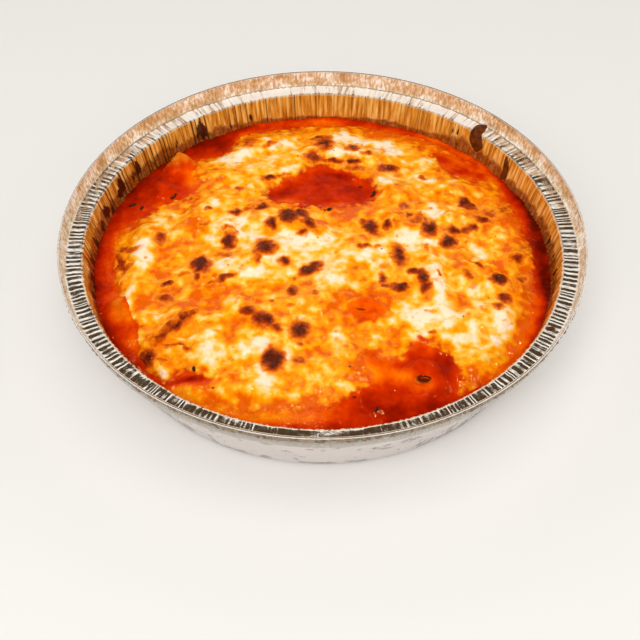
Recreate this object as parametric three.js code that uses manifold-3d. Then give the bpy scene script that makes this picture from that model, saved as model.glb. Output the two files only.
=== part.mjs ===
// A round foil take-out pan of baked pasta: tube pasta in tomato sauce under a sheet of melted cheese.
// Millimetres, +Z up, origin at the centre of the pan's foot, on the surface it stands on.
import * as THREE from "three";
import { mergeVertices } from "three/addons/utils/BufferGeometryUtils.js";
import Module from "manifold-3d";

// Pan: a foil dish with a flat ledge for a lid and an upright flange round it.
const RIM_RADIUS = 108;
const PAN_HEIGHT = 40;
const LEDGE_HEIGHT = 33.2;
const LEDGE_OUTER_RADIUS = 105.8;
const LEDGE_INNER_RADIUS = 98.8;
const WALL_FOOT_RADIUS = 92.4;
const WALL_FOOT_HEIGHT = 4;
const FLOOR_RADIUS = 89;
const PANEL_RADIUS = 70;
const PANEL_RISE = 1.2;
const PANEL_SLOPE = 2.5;
const WALL = 0.8;
const HEM = 1.0;
const HEM_DROP = 2.4;
const FLUTES = 42;
const WALL_FLUTE = 0.5;
const LEDGE_FLUTE = 0.3;

// Food: how high it stands at the wall and in the middle, and how thick the cheese is.
const GAP = 0.3;
const EDGE_LEVEL = 20.5;
const DOME_RISE = 5;
const POOL_DIP = 1.2;
const CHEESE_THICKNESS = 2.2;
const CHEESE_RIM_THICKNESS = 0.9;
const FOOD_RINGS = 13;
const RIDGE_WIDTH = 6.5;

// Tube pasta: one size of tube, cut square.
const TUBE_RADIUS = 6.6;
const TUBE_BORE = 4.9;
const TUBE_SIDES = 14;

// Buried tubes that raise the cheese: middle x, y, direction in degrees, length, height raised.
const RIDGES = [
  [-76, -4, 88, 32, 3.2],
  [-61, -45, 55, 26, 3.4],
  [-46, -52, 85, 22, 2.2],
  [-25, -37, -35, 22, 2.6],
  [-14, 15, -20, 26, 3.0],
  [38, 15, -25, 24, 3.0],
  [46, -20, 95, 34, 2.6],
  [66, -17, -28, 24, 2.8],
  [60, -39, 20, 28, 2.4],
  [12, 64, -12, 30, 2.6],
  [-30, 72, 24, 24, 2.2],
  [-40, 50, 8, 28, 1.8],
  [30, 40, -38, 24, 2.4],
  [-6, -31, 8, 28, 1.8],
  [10, -8, 68, 26, 2.0],
  [-32, -8, 32, 28, 2.0],
  [-54, 22, 58, 26, 2.2],
  [65, 20, 8, 26, 2.2],
  [0, -62, 18, 26, 1.8],
  [-27, -74, -16, 24, 2.0],
  [58, -60, 44, 20, 1.8],
  [58, 40, 12, 24, 1.8],
];

// Bare tubes: end x, y, z, then how far the tube's axis leans from upright, towards which heading, its length and
// how flat it is squashed.
const BARE_TUBES = {
  pasta_tube_front: [38, -68, 24.6, 22, -90, 18, 1],
  pasta_tube_middle: [17, -33.5, 26.6, 38, -100, 20, 0.6],
  pasta_tube_back_left: [-61.5, 62, 22.3, 82, 52, 20, 1],
  pasta_tube_right: [82, -8, 23.2, 28, -60, 18, 1],
  pasta_tube_left: [-83, -25.5, 19.2, 88, 117, 30, 1],
  pasta_tube_front_left: [-50.5, -71.2, 22.8, 14, 234, 18, 1],
};

// Pools where the cheese is open over the sauce, each a ring of x, y that a smooth curve joins.
const POOLS = {
  back_middle: [-22, 36, -12, 44, -2, 54, 8, 54, 14, 48, 22, 36, 8, 31, -10, 31],
  back_right: [52, 58, 58, 60, 66, 56, 70, 51, 60, 47, 54, 50],
  front: [14, -64, 30, -60, 38, -52, 48, -60, 52, -70, 46, -84, 24, -94, 4, -92, 2, -84, 16, -74],
};

// The cheese's outer edge, as its radius every 15 degrees from +X.
const CHEESE_EDGE = [
  80, 81, 84, 81, 82, 83, 85, 85, 79, 72, 68, 80, 86, 84, 75, 76, 80, 86, 88, 89, 86, 85, 83, 80,
];

const wasm = await Module();
wasm.setup();

const radians = (degrees) => (degrees * Math.PI) / 180;

// The inner radius of the pan's wall at a height, at the middle of its flutes.
function wallRadius(z) {
  const share = (z - WALL_FOOT_HEIGHT) / (LEDGE_HEIGHT - WALL_FOOT_HEIGHT);
  return WALL_FOOT_RADIUS - WALL + share * (LEDGE_INNER_RADIUS - WALL_FOOT_RADIUS + WALL);
}

// A closed geometry from corner points and triangles.
function geometryOf(points, triangles) {
  return new THREE.BufferGeometry()
    .setAttribute("position", new THREE.Float32BufferAttribute(points.flat(), 3))
    .setIndex(triangles.flat());
}

function solidOf(geometry) {
  const bare = geometry.clone().deleteAttribute("normal").deleteAttribute("uv");
  const merged = mergeVertices(bare, 1e-4);
  return new wasm.Manifold(
    new wasm.Mesh({
      numProp: 3,
      vertProperties: merged.attributes.position.array,
      triVerts: new Uint32Array(merged.index.array),
    }),
  );
}

function geometryFrom(solid) {
  const mesh = solid.getMesh();
  return new THREE.BufferGeometry()
    .setAttribute("position", new THREE.BufferAttribute(mesh.vertProperties, 3))
    .setIndex(new THREE.BufferAttribute(mesh.triVerts, 1));
}

// The pan's section from the middle of its underside, out and up over the flange, and back to the middle inside.
// Each point: radius, height, how far its flutes move it outwards, how far they move it up.
function panSection() {
  const cornerOut = [30, 60].map((a) => [
    FLOOR_RADIUS + (WALL_FOOT_RADIUS - FLOOR_RADIUS) * Math.sin(radians(a)),
    WALL_FOOT_HEIGHT * (1 - Math.cos(radians(a))),
    0,
    0,
  ]);
  const cornerIn = cornerOut.map(([r, z]) => [r - WALL * 0.7, z + WALL * 0.7, 0, 0]).reverse();
  const under = LEDGE_HEIGHT - WALL;
  return [
    [PANEL_RADIUS, PANEL_RISE, 0, 0],
    [PANEL_RADIUS + PANEL_SLOPE, 0, 0, 0],
    [FLOOR_RADIUS, 0, 0, 0],
    ...cornerOut,
    [WALL_FOOT_RADIUS, WALL_FOOT_HEIGHT, WALL_FLUTE, 0],
    [LEDGE_INNER_RADIUS + WALL, under, WALL_FLUTE, LEDGE_FLUTE],
    [LEDGE_OUTER_RADIUS + WALL * 0.7, under, 0, LEDGE_FLUTE],
    [RIM_RADIUS - HEM * 0.4, PAN_HEIGHT - HEM_DROP - HEM, 0, 0],
    [RIM_RADIUS, PAN_HEIGHT - HEM_DROP, 0, 0],
    [RIM_RADIUS, PAN_HEIGHT - HEM / 2, 0, 0],
    [RIM_RADIUS - HEM / 2, PAN_HEIGHT, 0, 0],
    [RIM_RADIUS - HEM, PAN_HEIGHT - HEM / 2, 0, 0],
    [LEDGE_OUTER_RADIUS, LEDGE_HEIGHT, 0, LEDGE_FLUTE],
    [LEDGE_INNER_RADIUS, LEDGE_HEIGHT, WALL_FLUTE, LEDGE_FLUTE],
    [WALL_FOOT_RADIUS - WALL, WALL_FOOT_HEIGHT, WALL_FLUTE, 0],
    ...cornerIn,
    [FLOOR_RADIUS, WALL, 0, 0],
    [PANEL_RADIUS + PANEL_SLOPE, WALL, 0, 0],
    [PANEL_RADIUS, PANEL_RISE + WALL, 0, 0],
  ];
}

function foilPan() {
  const section = panSection();
  const steps = FLUTES * 2;
  const points = [[0, 0, PANEL_RISE]];
  for (const [radius, height, out, up] of section) {
    for (let i = 0; i < steps; i++) {
      const side = i % 2 ? 1 : -1;
      const angle = (2 * Math.PI * i) / steps;
      const r = radius + side * out;
      points.push([r * Math.cos(angle), r * Math.sin(angle), height + side * up]);
    }
  }
  points.push([0, 0, PANEL_RISE + WALL]);
  const triangles = [];
  const last = points.length - 1;
  const at = (ring, i) => 1 + ring * steps + (i % steps);
  for (let i = 0; i < steps; i++) {
    triangles.push([0, at(0, i + 1), at(0, i)]);
    triangles.push([last, at(section.length - 1, i), at(section.length - 1, i + 1)]);
    for (let k = 0; k + 1 < section.length; k++) {
      triangles.push([at(k, i), at(k, i + 1), at(k + 1, i + 1)]);
      triangles.push([at(k, i), at(k + 1, i + 1), at(k + 1, i)]);
    }
  }
  return geometryOf(points, triangles);
}

// How near x, y is to a buried tube, from 0 to 1 on its crest.
function ridgeAt(x, y, [cx, cy, heading, length]) {
  const dx = Math.cos(radians(heading));
  const dy = Math.sin(radians(heading));
  const along = (x - cx) * dx + (y - cy) * dy;
  const beyond = Math.max(0, Math.abs(along) - length / 2);
  const beside = (x - cx) * dy - (y - cy) * dx;
  return Math.exp(-(beside * beside + beyond * beyond) / RIDGE_WIDTH ** 2);
}

function poolCurve(name) {
  const ring = POOLS[name];
  const corners = [];
  for (let i = 0; i < ring.length; i += 2) corners.push(new THREE.Vector3(ring[i], ring[i + 1], 0));
  return new THREE.CatmullRomCurve3(corners, true, "centripetal").getPoints(corners.length * 3);
}

const poolMiddles = Object.keys(POOLS).map((name) => {
  const rim = poolCurve(name);
  const middle = rim.reduce((sum, p) => sum.add(p), new THREE.Vector3()).divideScalar(rim.length);
  const reach = rim.reduce((sum, p) => sum + p.distanceTo(middle), 0) / rim.length;
  return { middle, reach };
});

// The top of the pasta and sauce: a low dome, raised by the tubes in it and dipped in the pools.
function bedTop(x, y) {
  const share = Math.min(1, Math.hypot(x, y) / wallRadius(EDGE_LEVEL));
  const tubes = Math.max(...RIDGES.map((ridge) => ridge[4] * ridgeAt(x, y, ridge)));
  let calm = 1 - share ** 8;
  let dip = 0;
  for (const { middle, reach } of poolMiddles) {
    const near = Math.exp(-((Math.hypot(x - middle.x, y - middle.y) / reach) ** 4));
    calm *= 1 - near;
    dip = Math.max(dip, near);
  }
  return EDGE_LEVEL + DOME_RISE * (1 - share * share) + tubes * calm - POOL_DIP * dip;
}

function cheeseThickness(x, y) {
  const share = Math.min(1, Math.hypot(x, y) / wallRadius(EDGE_LEVEL));
  return CHEESE_RIM_THICKNESS + (CHEESE_THICKNESS - CHEESE_RIM_THICKNESS) * (1 - share ** 4);
}

// An even triangle grid over a disc: ring k has 6k points, so all cells are about the same size.
function discGrid(radius) {
  const start = (ring) => (ring ? 1 + 3 * ring * (ring - 1) : 0);
  const at = (ring, i) => (ring ? start(ring) + (i % (6 * ring)) : 0);
  const spots = [[0, 0]];
  const cells = [];
  for (let ring = 1; ring <= FOOD_RINGS; ring++) {
    for (let i = 0; i < 6 * ring; i++) {
      const angle = (2 * Math.PI * i) / (6 * ring);
      const r = (radius * ring) / FOOD_RINGS;
      spots.push([r * Math.cos(angle), r * Math.sin(angle)]);
    }
    for (let side = 0; side < 6; side++) {
      for (let i = 0; i < ring; i++) {
        const outer = side * ring + i;
        const inner = side * (ring - 1) + i;
        cells.push([at(ring, outer), at(ring, outer + 1), at(ring - 1, inner)]);
        if (i + 1 < ring) cells.push([at(ring, outer + 1), at(ring - 1, inner + 1), at(ring - 1, inner)]);
      }
    }
  }
  const rim = Array.from({ length: 6 * FOOD_RINGS }, (_, i) => at(FOOD_RINGS, i));
  return { spots, cells, rim };
}

const clearOfWall = GAP + WALL_FLUTE;
const grid = discGrid(wallRadius(EDGE_LEVEL) - clearOfWall);

// Pasta and sauce as one solid: the uneven top, down the wall's slope and over the pan's floor.
function bedSolid() {
  const points = grid.spots.map(([x, y]) => [x, y, bedTop(x, y)]);
  const triangles = grid.cells.map((cell) => [...cell]);
  const below = [
    [wallRadius(WALL_FOOT_HEIGHT) - clearOfWall, WALL_FOOT_HEIGHT],
    [FLOOR_RADIUS - WALL, WALL + GAP],
    [PANEL_RADIUS + PANEL_SLOPE, WALL + GAP],
    [PANEL_RADIUS, PANEL_RISE + WALL + GAP],
  ];
  let above = grid.rim;
  for (const [radius, height] of below) {
    const ring = above.map((_, i) => points.length + i);
    for (let i = 0; i < ring.length; i++) {
      const angle = (2 * Math.PI * i) / ring.length;
      points.push([radius * Math.cos(angle), radius * Math.sin(angle), height]);
    }
    for (let i = 0; i < ring.length; i++) {
      const next = (i + 1) % ring.length;
      triangles.push([above[i], ring[i], ring[next]], [above[i], ring[next], above[next]]);
    }
    above = ring;
  }
  points.push([0, 0, PANEL_RISE + WALL + GAP]);
  for (let i = 0; i < above.length; i++) {
    triangles.push([above[i], points.length - 1, above[(i + 1) % above.length]]);
  }
  return solidOf(geometryOf(points, triangles));
}

// The cheese before it is trimmed: a sheet that follows the bed all over, a gap above it.
function cheeseSheet() {
  const count = grid.spots.length;
  const under = grid.spots.map(([x, y]) => [x, y, bedTop(x, y) + GAP]);
  const over = under.map(([x, y, z]) => [x, y, z + cheeseThickness(x, y)]);
  const triangles = grid.cells.flatMap(([a, b, c]) => [
    [a + count, b + count, c + count],
    [a, c, b],
  ]);
  grid.rim.forEach((a, i) => {
    const b = grid.rim[(i + 1) % grid.rim.length];
    triangles.push([a, b, b + count], [a, b + count, a + count]);
  });
  return solidOf(geometryOf([...under, ...over], triangles));
}

// An upright prism over a closed outline, tall enough to pass right through the food.
function prism(outline) {
  const shape = new THREE.Shape(outline.map((p) => new THREE.Vector2(p.x, p.y)));
  return solidOf(new THREE.ExtrudeGeometry(shape, { depth: PAN_HEIGHT, bevelEnabled: false, steps: 1 }));
}

function cheeseOutline() {
  const corners = CHEESE_EDGE.map((radius, i) => {
    const angle = (2 * Math.PI * i) / CHEESE_EDGE.length;
    return new THREE.Vector3(radius * Math.cos(angle), radius * Math.sin(angle), 0);
  });
  return new THREE.CatmullRomCurve3(corners, true, "centripetal").getPoints(CHEESE_EDGE.length * 3);
}

// A tube's profile turned about Z, from z = -length up to its open end at z = 0, its wall grown by a margin.
function tubeGeometry(place, margin, hollow) {
  const [length, squash] = place.slice(5);
  const outer = TUBE_RADIUS + margin;
  const inner = TUBE_BORE - margin;
  const low = -length - margin;
  const profile = hollow
    ? [[inner, low], [outer, low], [outer, margin], [inner, margin], [inner, low]]
    : [[0, low], [outer, low], [outer, margin], [0, margin]];
  return new THREE.LatheGeometry(
    profile.map(([r, z]) => new THREE.Vector2(r, z)),
    TUBE_SIDES,
  ).rotateX(Math.PI / 2).scale(squash, 1, 1);
}

// Stands a tube's geometry where its mesh goes.
function placeTube(object, [x, y, z, lean, heading]) {
  object.rotation.set(0, radians(lean), radians(heading), "ZYX");
  object.position.set(x, y, z);
  object.updateMatrix();
  return object;
}

// What a bare tube takes out of the food round it: only its wall where the sauce fills its bore.
function tubeCutter(place, hollow) {
  const holder = placeTube(new THREE.Object3D(), place);
  return solidOf(tubeGeometry(place, GAP, hollow).applyMatrix4(holder.matrix));
}

// Clears away what lies straight above a bare tube's open end, so that nothing hangs over it.
function tubeMouth([x, y, z]) {
  return solidOf(new THREE.CylinderGeometry(TUBE_BORE, TUBE_BORE, PAN_HEIGHT, TUBE_SIDES)
    .rotateX(Math.PI / 2)
    .translate(x, y, z + PAN_HEIGHT / 2));
}

// The largest of the bodies that cutting leaves.
function mainBody(solid) {
  const bodies = solid.decompose();
  return bodies.reduce((a, b) => (b.volume() > a.volume() ? b : a));
}

const finishes = {
  foil: { color: 0xb9b7b2, roughness: 0.28, metalness: 1 },
  sauce: { color: 0xb8300a, roughness: 0.25, metalness: 0 },
  cheese: { color: 0xf4c987, roughness: 0.4, metalness: 0 },
  pasta: { color: 0xe08a2c, roughness: 0.35, metalness: 0 },
};
const part = new THREE.Group();

function addMesh(name, geometry, finish) {
  const mesh = new THREE.Mesh(geometry, new THREE.MeshStandardMaterial(finishes[finish]));
  mesh.name = name;
  part.add(mesh);
  return mesh;
}

let bed = bedSolid();
let cheese = cheeseSheet().intersect(prism(cheeseOutline()));
for (const name of Object.keys(POOLS)) cheese = cheese.subtract(prism(poolCurve(name)));
for (const place of Object.values(BARE_TUBES)) {
  bed = bed.subtract(tubeCutter(place, true));
  cheese = cheese.subtract(tubeCutter(place, false)).subtract(tubeMouth(place));
}

addMesh("foil_pan", foilPan(), "foil");
addMesh("pasta_and_sauce", geometryFrom(mainBody(bed)), "sauce");
addMesh("melted_cheese", geometryFrom(mainBody(cheese)), "cheese");
for (const [name, place] of Object.entries(BARE_TUBES)) {
  placeTube(addMesh(name, tubeGeometry(place, 0, true), "pasta"), place);
}

export default part;
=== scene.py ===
# Baked pasta in a round foil take-out pan: the looks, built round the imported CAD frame.
# Lengths are millimetres unless a comment says metres. +Z is up and -Y faces the viewer.
import math
from collections import namedtuple

import bpy
import numpy as np
from mathutils import Matrix, Vector


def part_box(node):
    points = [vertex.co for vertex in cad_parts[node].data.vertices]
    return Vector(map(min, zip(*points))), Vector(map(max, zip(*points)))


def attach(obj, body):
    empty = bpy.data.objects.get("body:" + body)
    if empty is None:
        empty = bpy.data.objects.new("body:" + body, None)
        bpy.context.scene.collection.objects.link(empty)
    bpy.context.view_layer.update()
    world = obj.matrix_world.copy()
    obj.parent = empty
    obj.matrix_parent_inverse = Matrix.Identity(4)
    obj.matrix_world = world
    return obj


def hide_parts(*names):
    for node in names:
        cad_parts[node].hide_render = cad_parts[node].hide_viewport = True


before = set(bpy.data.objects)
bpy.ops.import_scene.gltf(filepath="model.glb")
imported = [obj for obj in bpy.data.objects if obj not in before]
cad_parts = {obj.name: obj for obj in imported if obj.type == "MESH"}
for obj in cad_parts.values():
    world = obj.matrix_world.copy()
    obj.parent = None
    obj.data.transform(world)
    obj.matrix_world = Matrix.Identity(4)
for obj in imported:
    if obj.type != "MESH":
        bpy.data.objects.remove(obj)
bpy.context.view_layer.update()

MM = 0.001
PAN_TOP_CORNER = np.array(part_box("foil_pan")[1]) / MM
RIM_RADIUS = PAN_TOP_CORNER[0]
PAN_HEIGHT = PAN_TOP_CORNER[2]

# The pan, as in the CAD model.
LEDGE_HEIGHT = 33.2
LEDGE_OUTER_RADIUS = 105.8
LEDGE_INNER_RADIUS = 98.8
WALL_FOOT_RADIUS = 92.4
WALL_FOOT_HEIGHT = 4.0
FLOOR_RADIUS = 89.0
PANEL_RADIUS = 70.0
PANEL_RISE = 1.2
PANEL_SLOPE = 2.5
WALL = 0.8

# The food, as in the CAD model.
EDGE_LEVEL = 20.5
DOME_RISE = 5.0
TUBE_RADIUS = 6.6

# A bare tube: its open end's middle, lean from upright, heading, length, how flat it is squashed, and how
# bare of sauce its far and near sides are, from 0 to 1. An upright one also has how high food fills its bore
# above the plane of the rim, how far the rim stands out of the sauce, and maybe a hole left in the bore, as
# shares of the tube's radius: half width, half height, how far aside.
Tube = namedtuple("Tube", "x y z lean heading length squash far_bare near_bare fill bare_rim hole",
                  defaults=(None, 0, None))

# The one at the back left dips a little more steeply than in the CAD model, to sink into the sauce.
TUBES = {
    "front": Tube(38, -68, 24.6, 22, -90, 18, 1, 0.3, 0.9, -1.3, -0.12, (0.3, 0.12, 0.15)),
    "middle": Tube(17, -33.5, 26.6, 38, -100, 20, 0.6, 0.6, 0.4, -1.1, -0.15, (0.2, 0.09, -0.35)),
    "back_left": Tube(-61.5, 62, 22.3, 72, 52, 20, 1, 0.95, 0),
    "right": Tube(82, -8, 23.2, 28, -60, 18, 1, 0.7, 0.6, -0.7, -0.05),
    "left": Tube(-83, -25.5, 19.2, 88, 117, 30, 0.78, 0.75, 0.1),
    "front_left": Tube(-50.5, -71.2, 22.8, 14, 234, 18, 1, 0.1, 0.1, 1.0, -0.5),
}

# The viewer: where the camera stands, and its focal length over the width of its picture.
EYE = np.array([0.0, -333.73, 349.89])
LOOK = (-0.00206069, 0.671883, -0.740654)
LOOK_UP = (-3.5e-05, 0.740656, 0.671884)
FOCAL_OVER_WIDTH = 1103.48 / 640
SENSOR_WIDTH = 36.0

# ---------------------------------------------------------------- stage

# The floor's side, in metres.
FLOOR_SIZE = 6.0

# Area lights: place and size in metres, and watts. The soft ones light everything and show in no highlight.
SOFT_LIGHTS = {
    "ceiling": ((0.1, -0.1, 1.25), (1.1, 1.1), 6.1),
    "fill": ((-0.15, -0.78, 1.02), (0.9, 0.6), 7.2),
}
# The small ones only make the wet food sparkle.
GLINTS = {
    "glint_back": ((0.05, 0.14, 1.25), (0.08, 0.08), 7.0),
    "glint_left": ((-0.48, 0.32, 1.12), (0.08, 0.08), 6.0),
    "glint_right": ((0.52, 0.24, 1.12), (0.08, 0.08), 6.0),
}
GLINT_TINT = (1.0, 0.85, 0.62)

# The surroundings: their colour by the height of a direction, 0 at the horizon and 1 overhead.
SKY = [(0.0, (252, 251, 249)), (0.635, (252, 251, 249)), (0.668, (160, 148, 128)), (0.7, (76, 60, 40)),
       (0.95, (74, 58, 39)), (0.985, (150, 142, 130)), (1.0, (164, 156, 146))]


def make_camera():
    camera = bpy.data.objects.new("camera", bpy.data.cameras.new("camera"))
    camera.data.sensor_width = SENSOR_WIDTH
    camera.data.lens = FOCAL_OVER_WIDTH * SENSOR_WIDTH
    camera.data.clip_start = 0.02
    forward = Vector(LOOK).normalized()
    right = forward.cross(Vector(LOOK_UP)).normalized()
    up = right.cross(forward)
    turn = Matrix((right, up, -forward)).transposed().to_4x4()
    camera.matrix_world = Matrix.Translation(Vector(EYE * MM)) @ turn
    bpy.context.scene.collection.objects.link(camera)
    bpy.context.scene.camera = camera


def make_light(name, place, size, power):
    """An area light that faces the food."""
    light = bpy.data.objects.new(name, bpy.data.lights.new(name, "AREA"))
    light.data.shape = "RECTANGLE"
    light.data.size, light.data.size_y = size
    light.data.energy = power
    light.location = place
    light.rotation_euler = (-Vector(place)).to_track_quat("-Z", "Y").to_euler()
    bpy.context.scene.collection.objects.link(light)
    return light


def make_lights(food):
    """The studio's soft lights, and small ones that shine on the food alone."""
    for name, facts in SOFT_LIGHTS.items():
        make_light(name, *facts).visible_glossy = False
    wet = bpy.data.collections.new("wet")
    for piece in food:
        wet.objects.link(piece)
    for name, facts in GLINTS.items():
        light = make_light(name, *facts)
        light.data.color = GLINT_TINT
        light.visible_diffuse = False
        light.light_linking.receiver_collection = wet


def make_world():
    """Surroundings: a wide pale band above the horizon, then a dim brown one, and a grey spot overhead."""
    world = bpy.data.worlds.new("world")
    bpy.context.scene.world = world
    world.use_nodes = True
    tree = world.node_tree
    direction = add(tree, "TexCoord").outputs["Generated"]
    height = add(tree, "SeparateXYZ", {0: direction}).outputs["Z"]
    tree.links.new(ramp(tree, height, SKY), tree.nodes["Background"].inputs["Color"])


def make_floor():
    bpy.ops.mesh.primitive_plane_add(size=FLOOR_SIZE)
    floor = bpy.context.object
    floor.name = "floor"
    floor.data.materials.append(Shader("floor", Roughness=0.9, Base_Color=linear((237, 235, 232))).material)


# ---------------------------------------------------------------- materials


def linear(colour):
    """The linear red, green, blue and alpha of a screen colour given from 0 to 255."""
    shares = [c / 255 for c in colour]
    return [c / 12.92 if c <= 0.04045 else ((c + 0.055) / 1.055) ** 2.4 for c in shares] + [1.0]


def add(tree, kind, links=None, **settings):
    """Adds a node. links maps each input's name or number to a value or to another node's output."""
    made = tree.nodes.new("ShaderNode" + kind)
    for key, value in settings.items():
        setattr(made, key, value)
    for key, value in (links or {}).items():
        if isinstance(value, bpy.types.NodeSocket):
            tree.links.new(value, made.inputs[key])
        else:
            made.inputs[key].default_value = value
    return made


def ramp(tree, factor, stops):
    """A colour that passes through stops of (place, screen colour)."""
    made = add(tree, "ValToRGB", {0: factor})
    elements = made.color_ramp.elements
    while len(elements) < len(stops):
        elements.new(0.5)
    for element, (place, colour) in zip(elements, stops):
        element.position = place
        element.color = linear(colour)
    return made.outputs["Color"]


class Shader:
    """One material with a Principled surface, and short ways to build its patterns."""

    def __init__(self, name, **numbers):
        self.material = bpy.data.materials.new(name)
        self.material.use_nodes = True
        self.tree = self.material.node_tree
        self.surface = self.tree.nodes["Principled BSDF"]
        for key, value in numbers.items():
            self.surface.inputs[key.replace("_", " ")].default_value = value
        self.place = add(self.tree, "TexCoord").outputs["Object"]
        self.unit = MM

    def drive(self, socket, output):
        self.tree.links.new(output, self.surface.inputs[socket])

    def field(self, name):
        return add(self.tree, "Attribute", attribute_name=name).outputs["Fac"]

    def follow(self, name):
        """From here on, noise follows a field of places in millimetres."""
        self.place = add(self.tree, "Attribute", attribute_name=name).outputs["Vector"]
        self.unit = 1.0

    def spread(self, size, stretch=(1, 1, 1)):
        """The place, measured in sizes of so many millimetres."""
        scale = [1 / (size * self.unit * s) for s in stretch]
        return add(self.tree, "Mapping", {"Vector": self.place, "Scale": scale}).outputs[0]

    def noise(self, size, detail, stretch=(1, 1, 1), roughness=0.5):
        """Noise from 0 to 1 with lumps about size millimetres across."""
        links = {"Vector": self.spread(size, stretch), "Scale": 1.0, "Detail": detail, "Roughness": roughness}
        return add(self.tree, "TexNoise", links).outputs["Fac"]

    def cells(self, size, warp):
        """Soft warped cells about size millimetres across: 0 in each middle, rising to about 0.7 between."""
        spread = self.spread(size)
        shift = add(self.tree, "TexNoise", {"Vector": spread, "Scale": 0.8, "Detail": 2.0}).outputs["Color"]
        links = {0: shift, 1: [warp / size] * 3, 2: spread}
        moved = add(self.tree, "VectorMath", links, operation="MULTIPLY_ADD").outputs[0]
        links = {"Vector": moved, "Scale": 1.0, "Smoothness": 0.6}
        return add(self.tree, "TexVoronoi", links, feature="SMOOTH_F1").outputs["Distance"]

    def math(self, operation, a, b):
        return add(self.tree, "Math", {0: a, 1: b}, operation=operation).outputs[0]

    def sway(self, value, noise, amount):
        """value moved up and down by a noise of the given strength."""
        centred = self.math("SUBTRACT", noise, 0.5)
        return self.math("ADD", value, self.math("MULTIPLY", centred, amount))

    def step(self, value, low, high, start=0.0, end=1.0):
        """start below low, end above high and smooth between."""
        links = {"Value": value, "From Min": low, "From Max": high, "To Min": start, "To Max": end}
        return add(self.tree, "MapRange", links, interpolation_type="SMOOTHSTEP").outputs[0]

    def ramp(self, factor, stops):
        return ramp(self.tree, factor, stops)

    def mix(self, factor, a, b):
        links = {0: factor, 6: a, 7: b}
        return add(self.tree, "Mix", links, data_type="RGBA").outputs[2]

    def bump(self, height, depth, base=None):
        """A fine relief of the given depth in millimetres, on top of an earlier one."""
        links = {"Height": height, "Distance": depth * MM, "Strength": 1.0}
        if base is not None:
            links["Normal"] = base
        return add(self.tree, "Bump", links).outputs[0]


# ---------------------------------------------------------------- shapes in numbers


# The noise repeats after so many lumps, and starts this many lumps away from the middle of the food.
NOISE_LUMPS = 128
NOISE_START = (517.3, 391.7)


def noise(x, y, size, seed, octaves=1):
    """Smooth noise, about -1 to 1, with lumps about size millimetres across."""
    total = np.zeros(np.broadcast(x, y).shape)
    share = 1.0
    for octave in range(octaves):
        angle = np.random.default_rng(seed + octave).uniform(0, 2 * math.pi, (NOISE_LUMPS, NOISE_LUMPS))
        u = np.asarray(x) / size + NOISE_START[0]
        v = np.asarray(y) / size + NOISE_START[1]
        column, row = np.floor(u).astype(int), np.floor(v).astype(int)
        fu, fv = u - column, v - row
        corner = {}
        for i in (0, 1):
            for j in (0, 1):
                turn = angle[(column + i) % NOISE_LUMPS, (row + j) % NOISE_LUMPS]
                corner[i, j] = np.cos(turn) * (fu - i) + np.sin(turn) * (fv - j)
        su = fu * fu * (3 - 2 * fu)
        sv = fv * fv * (3 - 2 * fv)
        low = corner[0, 0] * (1 - su) + corner[1, 0] * su
        high = corner[0, 1] * (1 - su) + corner[1, 1] * su
        total += share * 1.5 * (low * (1 - sv) + high * sv)
        share *= 0.5
        size *= 0.5
    return total


def smooth_step(value, low, high):
    share = np.clip((value - low) / (high - low), 0, 1)
    return share * share * (3 - 2 * share)


def turned(x, y, degrees):
    """x and y measured along a heading, and across it to its left."""
    cos, sin = math.cos(math.radians(degrees)), math.sin(math.radians(degrees))
    return x * cos + y * sin, y * cos - x * sin


def polar(radius, angle):
    """The x and y of a radius and angle."""
    return radius * np.cos(angle), radius * np.sin(angle)


def around(radius, angle, z):
    """Points at a radius, angle and height."""
    return np.stack([*polar(radius, angle), z + 0 * angle], 1)


def smooth_ring(corners):
    """A closed curve through the corners, as points: four from each corner to the next."""
    corners = np.array(corners, float)
    before, after, later = (np.roll(corners, shift, 0) for shift in (1, -1, -2))
    points = []
    for t in (0, 0.25, 0.5, 0.75):
        square = 2 * before - 5 * corners + 4 * after - later
        cube = 3 * corners - before - 3 * after + later
        points.append(0.5 * (2 * corners + (after - before) * t + square * t ** 2 + cube * t ** 3))
    return np.stack(points, 1).reshape(-1, 2)


def distance_to(x, y, path):
    """How far each x, y lies from a line through the path's points."""
    nearest = np.full(x.shape, 1e9)
    for (ax, ay), (bx, by) in zip(path[:-1], path[1:]):
        dx, dy = bx - ax, by - ay
        along = np.clip(((x - ax) * dx + (y - ay) * dy) / (dx * dx + dy * dy + 1e-9), 0, 1)
        nearest = np.minimum(nearest, np.hypot(x - ax - along * dx, y - ay - along * dy))
    return nearest


def inside_by(x, y, ring):
    """How far each x, y lies inside a closed ring: positive inside, negative outside."""
    nearest = distance_to(x, y, np.concatenate([ring, ring[:1]]))
    inside = np.zeros(x.shape, bool)
    for (ax, ay), (bx, by) in zip(ring, np.roll(ring, -1, 0)):
        crosses = (ay > y) != (by > y)
        inside ^= crosses & (x < ax + (bx - ax) * (y - ay) / ((by - ay) or 1e-9))
    return np.where(inside, nearest, -nearest)


def spot(x, y, cx, cy, strength, long, wide=None, turn=0, size=1.0):
    """A soft oval at cx, cy, from its half length, half width and turn in degrees. Round without a width."""
    u, v = turned(x - cx, y - cy, turn)
    return strength * np.exp(-0.7 * ((u / long) ** 2 + (v / (wide or long)) ** 2) / size ** 2)


def added_spots(x, y, spots):
    return sum(spot(x, y, *facts) for facts in spots)


def strongest_spot(x, y, spots, size=1.0):
    """The strongest spot at each x, y, with all of them size times as large."""
    best = np.zeros(x.shape)
    for facts in spots:
        best = np.maximum(best, spot(x, y, *facts, size=size))
    return best


# ---------------------------------------------------------------- map of the food

# The map is a level plane at this height, seen from the eye: x to the right and y away, in millimetres.
MAP_HEIGHT = 25.0


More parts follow.
